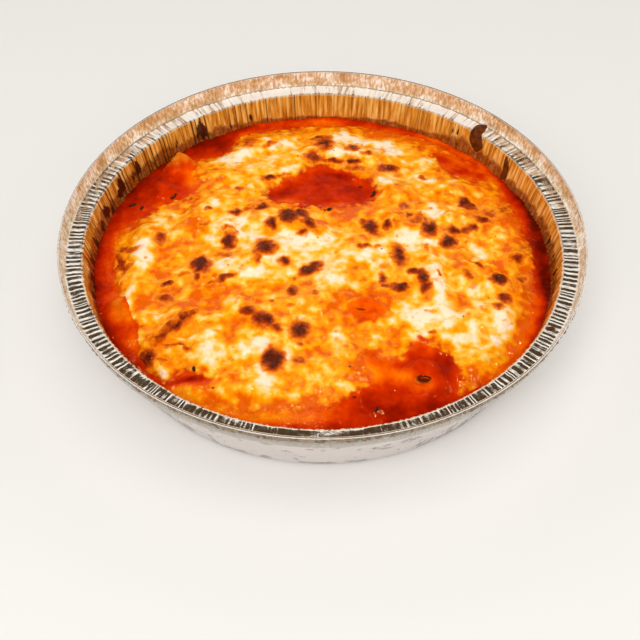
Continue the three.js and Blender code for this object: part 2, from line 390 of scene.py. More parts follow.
def on_map(x, y, z):
    """Where the line of sight through a point meets the map."""
    share = (MAP_HEIGHT - z) / (z - EYE[2])
    return x + (x - EYE[0]) * share, y + (y - EYE[1]) * share


# Outline of the cheese, counter-clockwise from the right.
CHEESE_OUTLINE = [
    (89, -8), (88, 6), (86, 18), (83, 28), (80, 38), (76, 48), (70, 57), (61, 66), (52, 74), (44, 78),
    (36, 81), (22, 84), (6, 86), (-8, 85), (-24, 82), (-37, 79), (-41, 71), (-45, 65), (-52, 62), (-58, 59),
    (-59, 50), (-56, 42), (-59, 35), (-66, 32), (-72, 28), (-79, 21), (-85, 15), (-88, 8), (-87, -4),
    (-86, -14), (-84, -22), (-82, -29), (-79, -36), (-75, -43), (-74, -51), (-70, -60), (-67, -66),
    (-62, -71), (-56, -77), (-46, -82), (-36, -86), (-24, -88), (-12, -86), (0, -85), (6, -82), (12, -77),
    (20, -70), (17, -60), (22, -60), (30, -60), (34, -55), (38, -51), (43, -53), (47, -58), (51, -63),
    (51, -70), (52, -77), (60, -73), (69, -66), (77, -55), (83, -42), (87, -26),
]

# Pools of sauce that the sheet leaves open.
MIDDLE_POOL = [
    (-24, 36), (-20, 32), (-10, 31), (0, 29), (12, 30), (20, 32), (24, 36), (21, 43), (17, 47), (8, 52),
    (0, 55), (-8, 51), (-12, 46), (-19, 42),
]
BACK_RIGHT_POOL = [
    (53, 62), (56, 63), (61, 60), (67, 55), (73, 50), (71, 46), (64, 48), (58, 51), (54, 56),
]

# Where the cheese lies open over the squashed middle tube, and along the far rim of the front left one.
MIDDLE_TUBE_OPENING = [
    (11, -33), (13, -30.5), (18, -29.5), (23, -31), (25, -34), (22, -37), (17, -38), (13, -36),
]
FRONT_LEFT_ARC = [
    (-60.6, -76.4), (-58, -71.6), (-54.2, -68.2), (-49.4, -67), (-44.8, -68), (-45.2, -70.4),
    (-49.6, -70.2), (-53.4, -71.6), (-56.6, -74.8), (-58.8, -77.8),
]

# Pasta tubes in the food that lift it: middle x, y, heading in degrees, length, lift.
RAISING_TUBES = [
    (-76, -4, 88, 32, 3.2), (-61, -45, 55, 26, 3.4), (-46, -52, 85, 22, 2.2), (-25, -37, -35, 22, 2.6),
    (-14, 15, -20, 26, 3), (38, 15, -25, 24, 3), (46, -20, 95, 34, 2.6), (66, -17, -28, 24, 2.8),
    (60, -39, 20, 28, 2.4), (12, 64, -12, 30, 2.6), (-30, 72, 24, 24, 2.2), (-40, 50, 8, 28, 1.8),
    (30, 40, -38, 24, 2.4), (-6, -31, 8, 28, 1.8), (10, -8, 68, 26, 2), (-32, -8, 32, 28, 2),
    (-54, 22, 58, 26, 2.2), (65, 20, 8, 26, 2.2), (0, -62, 18, 26, 1.8), (-27, -74, -16, 24, 2),
    (58, -60, 44, 20, 1.8), (58, 40, 12, 24, 1.8), (-75, -38, 117, 22, 2.6), (-50, -71, 112, 5, 2.6),
    (17, -35, -10, 6, 1.8), (-68, 54, 52, 12, 4.6), (-75, 45, 142, 6, 4.8), (-78, -36, 110, 18, 2.2),
    (-70, -52, 27, 6, 3.2), (-82, -41, 117, 24, 4.2),
]
RIDGE_WIDTH = 6.0

# A spot is x, y, strength and half length, then its half width if it isn't round, and its turn in degrees.

# Places where the cheese lies thick and pale.
PALE_PATCHES = [
    (-8, 7, 0.55, 13, 7, 15), (5, 12, 0.3, 5, 8), (36, 10, 0.8, 8, 7, -20), (-38, 19, 0.6, 11, 4, 10),
    (-36, 65, 0.6, 9, 3, 40), (-18, 72, 0.65, 7, 3, 30), (-27, 57, 0.35, 6, 3, 20),
    (-22, 52, 0.35, 5, 2, 20), (-47, 24, 0.45, 4, 5), (-48, 33, 0.4, 5, 2, -30), (-70, 20, 0.35, 3),
    (-77, 5, 0.55, 3.5, 5), (8, 79, 0.65, 5, 6), (25, 73, 0.65, 10, 2.6, -10), (32, 67, 0.5, 4),
    (8, 66, 0.6, 9, 2.5), (29, 47, 0.5, 5, 4), (45, 47, 0.35, 5), (48, 24, 0.55, 6, 4),
    (60, 21, 0.2, 6, 2.5), (76, 14, 0.35, 5, 4, -30), (-75, -4, 0.75, 2.8, 9, 8),
    (-78, -25, 0.7, 2.2, 5, -5), (-41, -5, 0.5, 7, 3.5, 10), (-25, -12, 0.5, 8, 6), (-8, -5, 0.2, 8, 3),
    (-44, -48, 0.35, 9, 4, 118), (-31, -58, 0.2, 5), (-13, -57, 0.5, 3, 4), (-23, -52, 0.9, 4),
    (-22, -72, 0.7, 4, 3), (-35, -27, 0.6, 4), (67, -3, 0.5, 4), (51, -30, 0.5, 4), (-14, 54, 0.6, 4, 3),
    (47, 58, 0.5, 4), (5, -47, 0.5, 2.5, 3), (-17, 10, 0.6, 3), (38, -47, 0.7, 4, 3), (73, -42, 0.6, 3),
    (60, -56, 0.5, 4), (3, -6, 0.5, 4, 3), (-61, -68, 0.5, 3), (-23, -65, 0.5, 3, 4),
    (-42, -58, 0.6, 6, 4, 40), (-47, 8, 0.5, 3), (-8, -37, 0.4, 4, 2), (19, -3, 0.5, 7, 3.5),
    (3, -15, 0.8, 6, 4), (-30, 9, 0.5, 4), (47, -16, 0.6, 13, 2.2, 97), (54, -13, 0.3, 6, 5),
    (40, -37, 0.65, 12, 4.5, 5), (70, -35, 0.6, 5, 7, -20), (63, -24, 0.4, 4), (76, -19, 0.4, 2.5, 6, -10),
    (56, -47, 0.4, 7, 3.5, 10), (70, -49, 0.4, 3, 5, -30), (-80, -26, 0.2, 3, 5, -5), (8, -57, 0.4, 3, 4),
    (8, -72, 0.5, 2.6), (-63, -35, 0.2, 7, 3, 25),
]

# Places where it is thin and oily, so that the sauce colours it.
ORANGE_PATCHES = [
    (-56, 8, -0.45, 8, 5, 20), (-55, 17, -0.35, 5, 4), (-84, 11, -0.4, 4, 7), (-5, 28, -0.35, 14, 2),
    (12, 26, -0.5, 8, 4), (32, 78, -0.55, 14, 3, -10), (54, 67, -0.4, 4, 10), (44, 36, -0.15, 8, 4),
    (74, 31, -0.45, 6, 4), (71, 24, -0.35, 7, 3), (83, 18, -0.5, 4, 10), (-68, -9, -0.4, 4, 12),
    (-60, -29, -0.3, 13, 6), (-45, -25, -0.4, 10, 5), (-35, -34, -0.3, 10, 8),
    (-37, -48, -0.8, 2, 4.5, -10), (-36, -70, -0.2, 9, 5), (-24, -82, -0.35, 13, 4),
    (-8, -82, -0.35, 10, 3), (-2, -40, -0.3, 5), (69, 60, -0.7, 14, 5, -40), (10, 83, -0.3, 26, 3),
    (86, 24, -0.4, 4, 16, 10), (-2, 15, -1.1, 4), (39, 19, -0.9, 8, 4), (45, -3, -0.6, 3, 4),
    (-50, 21, -0.9, 6, 4), (9, 8, -0.5, 4), (57, -3, -0.5, 3), (10, -44, -0.6, 4), (80, -20, -0.9, 6, 8),
    (-12, -5, -0.6, 5, 4), (29, -45, -0.6, 5, 4), (-1, -52, -0.5, 4), (75, 19, -0.9, 7, 4),
    (8, 18, -0.6, 5, 4), (26, 12, -0.7, 4), (-23, -20, -0.7, 6, 5), (-12, -68, -0.4, 6, 4),
    (-46, -19, -0.8, 6, 5), (54, 39, -0.4, 5, 4), (-13, 19, -0.8, 4, 3), (-8, -17, -0.6, 4, 3),
    (77, -50, -0.8, 4, 7, -25), (-34, -63, -0.4, 4), (35, 62, -0.5, 4, 3), (17, -31, -0.65, 8),
    (10, -23, -0.4, 6, 3), (21, -59, -0.5, 6, 3), (15, -66, -0.9, 6, 5), (55, -28, -0.75, 4),
    (75, -5, -0.5, 6), (80, -40, -0.5, 5, 7), (60, -66, -0.4, 8, 5, 30), (-74, -26, -0.9, 2.6, 4),
    (33, -8, -0.2, 4, 3), (-50, 42, -0.2, 6, 5), (3, -80, -0.2, 8, 3), (-51, -76, -0.3, 10, 5, -25),
]

# Brown blisters.
BLISTERS = [
    (1, 73, 1.1, 3, 4), (-2, 77, 0.7, 4, 1, 20), (14, 69, 0.9, 2.5, 2), (21, 66, 0.8, 2.5, 1.2),
    (-4, 63, 0.9, 3.6), (5, 60, 1, 4.6, 1.5), (14, 60, 1.1, 3, 1.5), (30, 55.5, 1.1, 3.6, 2.2),
    (-24, 48.5, 1, 3, 1.5), (-17, 50, 0.7, 3, 0.8, 15), (-34, 74, 0.6, 3, 4), (-25, 72, 0.6, 3.6, 1.6, 35),
    (45, 48, 0.65, 1.5, 1.8), (35, 44, 0.4, 3, 2), (-37, 41, 0.7, 1.8, 1.4), (63.5, 31, 1.2, 3.4, 2.2, -50),
    (36, 29.5, 0.8, 2), (43, 31, 0.55, 2.2, 1), (-26.5, 29, 1.05, 2.6, 1.5), (-32, 28, 0.7, 3, 0.9, 15),
    (-38, 25.5, 0.95, 2.5, 1.4), (-50, 27.5, 0.7, 1.2), (-15, 23, 1.25, 3.2, 3, -10),
    (-9, 24, 1.1, 3, 2, -40), (-6, 19, 1.05, 2, 3.2, 35), (-8, 13, 0.7, 2, 2.6), (-22, 18, 1, 1.9, 3.2),
    (21, 16, 1.15, 2.6, 3.8, 20), (28, 17, 0.95, 1.6, 2.6), (18, 19, 0.8, 1.6, 2), (46, 14, 1.25, 2.5, 3.4),
    (57, 14, 0.95, 3.4, 1.8, -5), (62, 14, 0.9, 2, 1.8), (65, 16, 0.9, 2.2, 2),
    (70, 21, 0.9, 3.5, 1.5, -20), (54, 7, 1.25, 2.6, 3.2), (18, 4.5, 0.8, 3, 1.3), (-69, 9, 0.9, 1.8, 3.2),
    (-40, 7, 1.15, 2.2, 4), (-24, 3.5, 1.2, 3.2), (32.5, -1.5, 1.2, 2.3, 4.4, 15), (86, 2.5, 0.9, 1.5, 1.2),
    (-27, -3, 0.75, 1.3, 3), (-16, -5, 1.05, 2.3, 1.8), (-51, -7, 1.25, 3, 3.8),
    (-51.5, -14, 0.8, 1.6, 2.4), (-58, -12, 0.5, 4, 1, 20), (-5, -10, 1.2, 4.2, 2.2, 35),
    (-11, -15, 0.5, 2, 1.4), (-40, -14, 0.95, 3.6, 1.4, 25), (-45, -17, 0.8, 2.4, 0.8, 20),
    (-64, -18, 0.95, 2.3, 1.2, 10), (-64, -26, 0.9, 3.2, 1.9, -20), (15, -8, 0.4, 2.5, 2),
    (26, -8, 0.4, 2.5, 2), (17, -16, 0.45, 2, 1.5), (25, -15, 0.8, 1.5, 3), (26, -19, 0.9, 1.8, 1),
    (31.5, -20, 1.15, 3, 2.1, -5), (38, -11, 0.9, 2, 1.8), (41.5, -14, 1.2, 1.7, 3.4), (42, -20, 1, 2, 2.6),
    (60, -13, 0.7, 1.8, 2.6), (73, -15.5, 1.2, 3, 2.2, -10), (74, -26, 0.95, 2, 2.6, 20),
    (71, -31, 0.75, 2, 1.6), (-12, -22, 0.85, 2, 2.5), (-29.5, -33, 0.95, 3, 2.2, -40),
    (-23.5, -38, 1.25, 3.6, 3, -30), (-18, -42, 0.8, 2), (-9, -43.5, 1.25, 3, 3.4), (-8, -51, 0.75, 1, 1.3),
    (-19, -59, 1.4, 3, 4.2), (-9, -59, 0.75, 2), (-54, -36, 0.8, 4, 2.2, 30), (-58.5, -41.5, 1, 5, 2.2, 42),
    (-63.5, -47.5, 0.9, 4, 2, 45), (-67.5, -60, 1, 2.4, 5.5, -12), (-83, 1.5, 0.7, 4.5, 1.6, 10),
    (-84.5, -6, 0.75, 1.6, 4.5, 20), (-82, -10, 0.7, 3.5, 1.4, 40), (-86.5, -13, 0.7, 1.2, 3.5, 10),
    (-60, -52, 0.55, 5, 1.2, 15), (44, -45, 0.6, 1.6, 1.2), (12, -45, 0.4, 2, 1.6), (-57, -51, 0.7, 3, 1),
    (-52.5, -54, 0.6, 1.5), (-62, -59, 0.65, 3, 1.6, -20), (-20, -28, 0.6, 1.2, 1), (-13, -30, 0.6, 1.5, 1),
    (-28, -26, 0.5, 1.3, 1), (-51, 19, 0.5, 2.4, 1.8, 30), (-57, 25, 0.4, 2.4, 2), (13, 62, 0.4, 3, 2),
    (24, 4, 0.5, 1.6, 1.2), (44, 3, 0.45, 1.2, 3), (61, 7, 0.4, 1.4, 1), (80, 27, 0.6, 3, 2),
    (82, -3, 0.75, 3.2), (81.5, -16, 0.7, 2.2, 2.6), (78, -22, 0.5, 1.6, 2.6), (3, -27, 0.4, 2, 1.2),
    (-3, -23, 0.5, 1.4, 1), (-41, -1, 0.5, 4, 2), (41, 20, 0.65, 4, 2), (73, 25, 0.6, 4, 2.4, -20),
    (14, 55, 0.6, 5, 2.4),
]

# Thin brown lines where the cheese folds, partly scorched skin and partly painted shade in the crease: half
# width, darkness, height of the lip beside it, then the line.
FOLDS = [
    (0.7, 0.95, 0.8, [(31, 20), (35, 22), (39, 21), (42, 19)]),
    (0.8, 1.0, 0.9, [(37, 23), (41, 24.5), (44, 22), (46, 18)]),
    (0.8, 0.75, 0.7, [(-43, 14), (-41, 17), (-38, 15), (-36, 11)]),
    (0.7, 0.55, 0.6, [(53, 24), (56, 27), (60, 25), (64, 22)]),
    (0.8, 0.9, 1.0, [(59, 0), (62, -5), (67, -9)]),
    (0.6, 0.6, 1.0, [(67, -8), (73, -11), (78, -16), (80, -22)]),
    (0.7, 0.9, 0.8, [(48, -9), (48.5, -14)]),
    (0.7, 0.5, 1.0, [(-79, -6), (-82, -3), (-85, -6), (-86, -13), (-84, -20)]),
    (0.7, 0.5, 1.0, [(-81, -10), (-83, -14), (-84, -19), (-88, -24)]),
    (0.8, 0.5, 1.3, [(-51, -35), (-55, -36), (-58, -40), (-62, -46), (-66, -48)]),
    (0.8, 0.6, 1.3, [(-52, -52), (-58, -50), (-63, -51), (-68, -52)]),
    (0.5, 0.4, 0.8, [(-62, -62), (-59, -64), (-56, -62), (-55, -60)]),
    (0.6, 0.6, 0.9, [(22, 44), (27, 42), (31, 38)]),
    (0.6, 0.5, 0.8, [(-24, 30), (-14, 28), (-4, 29), (4, 26)]),
    (0.5, 0.5, 0.6, [(20, -52), (17, -56), (16, -59)]),
]

# Places where the sauce is more orange, or darker where negative.
SAUCE_PATCHES = [
    (-58, 46, 0.45, 4, 5), (-64, 52, 0.3, 3), (-61, 38, 0.12, 4), (-50, 70, -0.12, 10, 3, 10),
    (-89, -5, 0.05, 3, 10), (-18, 88, 0.3, 12, 3), (-28, 86, 0.4, 3, 2), (2, 88, 0.35, 7, 4),
    (-10, -88, 0.3, 10, 3), (-32, -87, -0.35, 6, 3), (24, 88, 0.3, 14, 4, -5), (45, 81, 0.1, 8, 3, -20),
    (57, 55, 0.12, 4, 4, -45), (65, 48, 0.12, 4, 2), (70, 62, 0.5, 14, 5, -40), (62, 54, 0.1, 8, 3, -35),
    (76, 44, 0.35, 3.5, 7), (52, 76, 0.3, 8, 4, -30), (82, 30, 0.1, 5, 8), (84, 12, 0.12, 4, 5),
    (84, -8, 0.2, 4, 7), (84, -27, 0.3, 4, 7), (80, -45, 0.4, 4, 8, -30), (72, -62, 0.4, 9, 4, 45),
    (91, 5, -0.35, 2.6, 26), (92, -22, -0.25, 2, 9), (-86, 12, 0.25, 4, 10), (-90, -8, 0.2, 3, 9),
    (-70, -62, -0.1, 5, 4, -40), (-40, -84, 0.5, 14, 5, -20), (38, -55, 0.12, 4, 3), (46, -63, -0.1, 3, 7),
    (20, -64, 0.35, 5), (24, -70, 0.22, 5, 6, 20), (30, -82, -0.05, 16, 6), (0, -88, 0.2, 10, 3),
    (-24, -85, 0.5, 12, 4), (-80, -40, 0.25, 5, 16, 20), (38, -71, 0.4, 7, 4), (30.5, -67, 0.5, 4.5, 2.5),
    # The dark patch at -52, -70 is painted shadow, in the gap along the front left tube's far rim.
    (46, -66, -0.15, 3, 5), (-52, -70, -0.6, 6, 2, 15), (17, -33, 0.4, 10, 7), (-51, -75, 0.7, 6, 4),
    (-82, -33, 0.3, 6, 8, 20), (-12, 36, -0.06, 8, 3), (5, 38, 0.08, 5, 6), (-6, 49, 0.12, 5, 4),
    (16, 37, -0.14, 5), (7, 49, -0.22, 8, 2, -10), (-2, 44, -0.05, 3, 8), (52, -76, -0.1, 4, 5),
]

# Places thick with fine oily bubbles.
BUBBLY_PATCHES = [
    (-9, -87, 1, 9, 4), (-22, -84, 0.7, 5, 2), (-88, -16, 0.6, 3, 8), (88, 8, 0.6, 4, 22),
    (-56, -56, 0.9, 9, 5), (56, 67, 0.5, 3), (0, 90, 0.3, 30, 4), (8, -55, 0.7, 5, 6), (22, -52, 0.6, 4),
    (-14, -66, 0.6, 5), (54, -17, 0.4, 4, 3), (58, -54, 0.5, 6, 5), (-4, -35, 0.5, 8, 6),
    (-60, -20, 0.3, 6, 5), (28, 14, 0.4, 6, 5), (72, -24, 0.4, 4, 6),
]

# Dark flecks of herb and char that lie on the food: x, y, length, turn in degrees.
FLECKS = [
    (-83, 29, 3.4, 20), (-79, 27, 2.6, 80), (-66, 34, 2.8, 40), (-65, 36, 1.8, 70), (3, 25.5, 2.6, 35),
    (23, 37, 3.2, 70), (22, 35, 2, 10), (17, 41, 1.8, 0), (20, -84, 2, 60), (20.5, -83, 1.6, 10),
    (-41, -75, 1.2, 30), (-49, -65, 2.6, 95), (12, -78, 1.4, 0), (-80, -35, 1, 0), (10.5, -64.5, 1, 0),
]
# Besides these there are seeded random ones, and small scorch marks on the cheese, within these radii.
RANDOM_FLECKS = 26
FLECKS_REACH = 86
SCORCH_MARKS = 240
SCORCH_REACH = 84

# ---------------------------------------------------------------- surfaces of the food


def wall_radius(z):
    """The middle radius of the pan's inner wall at a height."""
    share = (z - WALL_FOOT_HEIGHT) / (LEDGE_HEIGHT - WALL_FOOT_HEIGHT)
    return WALL_FOOT_RADIUS - WALL + share * (LEDGE_INNER_RADIUS - WALL_FOOT_RADIUS + WALL)


FOOD_RADIUS = wall_radius(EDGE_LEVEL)


def ridge_lift(x, y):
    """How far the pasta tubes lift the food."""
    lift = np.zeros(x.shape)
    for cx, cy, heading, length, height in RAISING_TUBES:
        along, beside = turned(x - cx, y - cy, heading)
        beyond = np.maximum(0, np.abs(along) - length / 2)
        lift = np.maximum(lift, height * np.exp(-(beside ** 2 + beyond ** 2) / RIDGE_WIDTH ** 2))
    return lift


HOLE_DEPTH = 6.0


def tube_coat(x, y, level):
    """The level with the sauce that climbs each upright tube nearly to its rim, and what fills its bore."""
    for tube in TUBES.values():
        if tube.fill is None:
            continue
        lean = math.radians(tube.lean)
        ahead, aside = turned(x - tube.x, y - tube.y, tube.heading)
        ahead_share = ahead / (tube.squash * math.cos(lean))
        away = np.hypot(ahead_share, aside)
        beyond = np.maximum(0, away - TUBE_RADIUS)
        rim = tube.z - math.tan(lean) * ahead * np.minimum(1, TUBE_RADIUS / np.maximum(away, 0.1))
        climb = rim - tube.bare_rim - 0.3 * beyond - 0.14 * beyond ** 2
        level = np.maximum(level, climb + 0.3 * noise(x, y, 3.5, 171))
        inside = 1 - smooth_step(away, 0.3 * TUBE_RADIUS, 0.72 * TUBE_RADIUS)
        level = level + inside * (rim + tube.fill - level)
        if tube.hole:
            wide, high, shift = np.array(tube.hole) * TUBE_RADIUS
            from_hole = np.hypot(ahead_share / high, (aside - shift) / wide)
            level = level - HOLE_DEPTH * inside * (1 - smooth_step(from_hole, 1.3, 2.4))
    return level


def bed_top(x, y):
    """The height of the sauce and pasta."""
    share = np.minimum(np.hypot(x, y) / FOOD_RADIUS, 1)
    level = EDGE_LEVEL + DOME_RISE * (1 - share ** 2)
    middle = inside_by(*on_map(x, y, level), smooth_ring(MIDDLE_POOL))
    calm = (1 - share ** 10) * (1 - 0.7 * smooth_step(middle, -4, 3))
    lumps = 0.7 * noise(x, y, 13, 11, 2) * calm + 0.16 * noise(x, y, 3.2, 21, 2)
    level = level + ridge_lift(x, y) * calm + lumps - 1.6 * smooth_step(middle, -3, 3)
    return tube_coat(x, y, level)


def cheese_cover(x, y, level):
    """How far each point lies inside the cheese's edge, and where it is on the map."""
    u, v = on_map(x, y, level)
    rough_u = u + 0.9 * noise(x, y, 4.5, 31, 2)
    rough_v = v + 0.9 * noise(x, y, 4.5, 41, 2)
    cover = inside_by(rough_u, rough_v, smooth_ring(CHEESE_OUTLINE))
    for opening in (MIDDLE_POOL, BACK_RIGHT_POOL, MIDDLE_TUBE_OPENING, FRONT_LEFT_ARC):
        cover = np.minimum(cover, -inside_by(rough_u, rough_v, smooth_ring(opening)))
    return cover + 0.6 * noise(x, y, 2.2, 51, 2), u, v


def scorch_marks():
    """Small spots scattered evenly over the cheese."""
    random = np.random.default_rng(3)
    radius = SCORCH_REACH * np.sqrt(random.uniform(0, 1, SCORCH_MARKS))
    angle = random.uniform(0, 2 * math.pi, SCORCH_MARKS)
    long = random.uniform(0.9, 2.4, SCORCH_MARKS)
    wide = long * random.uniform(0.6, 1, SCORCH_MARKS)
    turn = random.uniform(0, 180, SCORCH_MARKS)
    strength = random.uniform(0.12, 0.34, SCORCH_MARKS)
    return np.stack([*polar(radius, angle), strength, long, wide, turn], 1).tolist()


def brownness(x, y, u, v):
    """How scorched the cheese is, from 0 to 1 and more, with painted shade along its folds, and the relief
    that its folds add.
    """
    near_u = u + 1.1 * noise(x, y, 4.2, 71, 2)
    near_v = v + 1.1 * noise(x, y, 4.2, 81, 2)
    brown = 0.96 * strongest_spot(near_u, near_v, BLISTERS, size=1.14) * (1 + 0.3 * noise(x, y, 3, 73, 2))
    brown = np.maximum(brown, strongest_spot(near_u, near_v, scorch_marks()))
    brown = np.maximum(brown, 0.26 * smooth_step(noise(x, y, 5, 91, 2), 0.3, 0.8))
    relief = np.zeros(x.shape)
    for width, darkness, lip, path in FOLDS:
        away = distance_to(near_u, near_v, path)
        # Brown along each fold: partly scorched skin, partly painted shade in the crease.
        faded = darkness * (0.62 + 0.5 * noise(x, y, 6, 75))
        brown = np.maximum(brown, faded * np.exp(-0.7 * (away / width) ** 2))
        relief += lip * (np.exp(-((away - 1.8) / 1.1) ** 2) - 0.8 * np.exp(-(away / width) ** 2))
    return brown, relief


def sauce_tone(x, y, u, v, cover):
    """How orange the sauce is, from 0, deep red, to 1, light orange."""
    tone = 0.27 + 0.13 * noise(x, y, 8, 131, 3) + 0.65 * added_spots(u, v, SAUCE_PATCHES)
    return tone + 0.3 * np.exp(-np.abs(cover) / 3) * (0.6 + 0.6 * noise(x, y, 12, 135))


def paleness(x, y, u, v, cover):
    """How thick and pale the cheese looks, from 0, thin and orange, to 1, cream."""
    pale = 0.47 + 0.22 * noise(x, y, 11, 61, 2) + 0.24 * noise(x, y, 5.2, 65, 2)
    pale += added_spots(u, v, PALE_PATCHES) + 0.65 * added_spots(u, v, ORANGE_PATCHES)
    return pale - 0.34 * np.exp(-np.maximum(cover, 0) / 4)


# ---------------------------------------------------------------- meshes


def make_piece(name, points, faces, material, fields=None):
    """A smooth mesh object from points in millimetres, with number or place fields on its points."""
    mesh = bpy.data.meshes.new(name)
    mesh.from_pydata((np.asarray(points) * MM).tolist(), [], faces)
    mesh.update()
    for key, values in (fields or {}).items():
        values = np.asarray(values, np.float32)
        if values.ndim == 1:
            mesh.attributes.new(key, "FLOAT", "POINT").data.foreach_set("value", values)
        else:
            mesh.attributes.new(key, "FLOAT_VECTOR", "POINT").data.foreach_set("vector", values.ravel())
    mesh.shade_smooth()
    mesh.materials.append(material)
    piece = bpy.data.objects.new(name, mesh)
    bpy.context.scene.collection.objects.link(piece)
    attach(piece, "root")
    return piece


def read(items, key, kind=float, width=1):
    """The values that Blender keeps under a key for a mesh's corners, faces or points."""
    values = np.zeros(width * len(items), kind)
    items.foreach_get(key, values)
    return values


def lay_flat(piece, top_count, reach):
    """A map for baked colours: a round piece's top seen from above, and its hidden sides in one corner."""
    mesh = piece.data
    corners = read(mesh.loops, "vertex_index", int)
    face_starts = read(mesh.polygons, "loop_start", int)
    across = read(mesh.vertices, "co", width=3).reshape(-1, 3)[:, :2] / (reach * MM)
    hidden = np.maximum.reduceat(corners, face_starts) >= top_count
    hidden = np.repeat(hidden, np.diff(np.append(face_starts, len(corners))))[:, None]
    flat = np.where(hidden, 0.07 + 0.06 * across[corners], 0.5 + 0.49 * across[corners])
    mesh.uv_layers.new(name="OFBake").data.foreach_set("uv", flat.ravel())


def disc_grid(rings):
    """An even triangle grid over a disc, with 6k points on ring k: each point's share of the radius and its
    angle, the triangles, and the number of the outermost ring's first point."""
    shares, angles, cells = [0.0], [0.0], []
    start = 0
    for ring in range(1, rings + 1):
        inner_start, start = start, len(shares)
        count, inner_count = 6 * ring, max(1, 6 * (ring - 1))
        shares += [ring / rings] * count
        angles += [2 * math.pi * i / count for i in range(count)]
        for side in range(6):
            for i in range(ring):
                outer = start + side * ring + i
                beyond = start + (side * ring + i + 1) % count
                inner = inner_start + (side * (ring - 1) + i) % inner_count
                cells.append((outer, beyond, inner))
                if i + 1 < ring:
                    following = inner_start + (side * (ring - 1) + i + 1) % inner_count
                    cells.append((beyond, following, inner))
    return np.array(shares), np.array(angles), cells, start


def rim_edges(cells):
    """The directed edges that only one of the cells has."""
    edges = np.concatenate([cells[:, [0, 1]], cells[:, [1, 2]], cells[:, [2, 0]]])
    size = cells.max() + 1
    forward = edges[:, 0] * size + edges[:, 1]
    backward = edges[:, 1] * size + edges[:, 0]
    return edges[~np.isin(forward, backward)]


def ring_faces(rows, columns, first=0):
    """Quads of a grid of points, from the first on, whose every row is a closed ring."""
    here = first + np.arange((rows - 1) * columns).reshape(rows - 1, columns)
    after = np.roll(here, -1, 1)
    return np.stack([here, after, after + columns, here + columns], 2).reshape(-1, 4).tolist()


def fan(middle, ring):
    """Triangles from a middle point to each edge of a closed ring."""
    return [(middle, a, b) for a, b in zip(ring, [*ring[1:], ring[0]])]


# ---------------------------------------------------------------- pan

PLEATS = 284
# Where the columns of points stand in each pleat, as shares of its width.
PLEAT_COLUMNS = (0.08, 0.42, 0.58, 0.92)
# The curled edge's bead, and how far the fold hangs below the rim.
BEAD_RADIUS = 0.45
HEM_DROP = 3.4
# The foil's patterns are laid out along a strip with this radius.
STRIP_RADIUS = 100

# One ring of the pan's section: how much wall pleats, ledge pleats, crinkles and soft creases move it, then
# how much it is gilded by baked-on oil and painted reflection of the food, tanned by baking, or given the
# hem's painted shade.
Row = namedtuple("Row", "radius z wall ledge crinkle crease oil tan hem", defaults=(0, 0, 0, 0, 0, 0, 0))

# Baked-on marks on the inner wall: azimuth in degrees, height, half width, half height, darkness.
WALL_MARKS = [
    (125.5, 26.6, 2, 3.6, 1.2), (110.5, 25.7, 0.7, 2.4, 0.9), (116.6, 24.5, 0.9, 1.6, 0.7),
    (148.5, 27.5, 1.9, 3.4, 1), (151, 26, 1.3, 2.4, 0.8), (156.4, 27.5, 2.3, 3.4, 1.2),
    (158, 25, 1.8, 2.2, 0.9), (165.6, 25.5, 2, 3, 1), (163, 22.5, 1.8, 2.4, 0.9), (170, 23, 2, 3, 0.8),
    (176, 24, 2, 3, 0.8), (182, 23, 2, 3, 0.8), (188, 23, 2.4, 3, 0.9), (194, 22, 2.4, 3, 0.8),
    (134, 26.8, 0.9, 2.4, 0.8), (141, 26.2, 0.9, 2.4, 0.6), (49.8, 29.3, 0.6, 2, 1),
    (51.6, 28.6, 0.5, 1.4, 0.8), (56, 26.5, 0.5, 1.6, 0.5), (18, 24, 1, 2.6, 0.6), (12, 25, 1, 2.6, 0.6),
    (4, 25, 1.2, 3, 0.7), (-2, 25.5, 1, 3, 0.7), (-8, 25, 1.2, 3.4, 0.8), (-14, 25, 1.2, 3.4, 0.8),
    (-20, 26, 1, 3, 0.7), (84, 27, 0.5, 1.6, 0.4), (98, 27, 0.5, 1.6, 0.4), (71, 25.5, 0.5, 1.6, 0.5),
]

# How dark the grooves between the wall's pleats are, by azimuth in degrees.
GROOVE_DEPTHS = {0: 0.7, 20: 0.6, 50: 0.55, 65: 0.55, 100: 0.65, 120: 1.0, 140: 1.2, 200: 1.2, 330: 0.75}

# Painted reflection: how far the ledge is painted a milky white, by azimuth in degrees, strongest at the
# back.
LEDGE_PAINTED_REFLECTION = {0: 0.1, 40: 0.45, 55: 0.62, 85: 0.54, 100: 0.62, 125: 0.6, 150: 0.4, 180: 0.1, 270: 0}

# How far sauce has baked onto the wall above the food, by azimuth in degrees.
SMEAR_HEIGHTS = {
    0: 7.5, 15: 6, 30: 4.5, 45: 8, 50: 7, 56: 5, 62: 3, 75: 2.5, 90: 1.5, 100: 2, 110: 4, 118: 5, 126: 6,
    138: 8, 150: 9, 160: 8.5, 172: 8.5, 185: 9, 200: 8, 225: 5, 270: 3, 315: 5, 345: 8,
}


def pan_rows():
    """The pan's section, from the middle inside, up and over the hem, to the middle outside."""
    return inner_floor_rows() + wall_rows() + ledge_rows() + flange_rows() + hem_rows() + outer_rows()


def corner_rows(turns, inwards, crease):
    """The round corner between the pan's floor and its wall."""
    rows = []
    for turn in turns:
        sin, cos = math.sin(math.radians(turn)), math.cos(math.radians(turn))
        radius = FLOOR_RADIUS + (WALL_FOOT_RADIUS - FLOOR_RADIUS) * sin - inwards
        rows.append(Row(radius, WALL_FOOT_HEIGHT * (1 - cos) + inwards, crease=crease))
    return rows


def inner_floor_rows():
    panel = [Row(PANEL_RADIUS, PANEL_RISE + WALL), Row(PANEL_RADIUS + PANEL_SLOPE, WALL)]
    return panel + [Row(FLOOR_RADIUS, WALL)] + corner_rows((30, 60), 0.7 * WALL, 0)


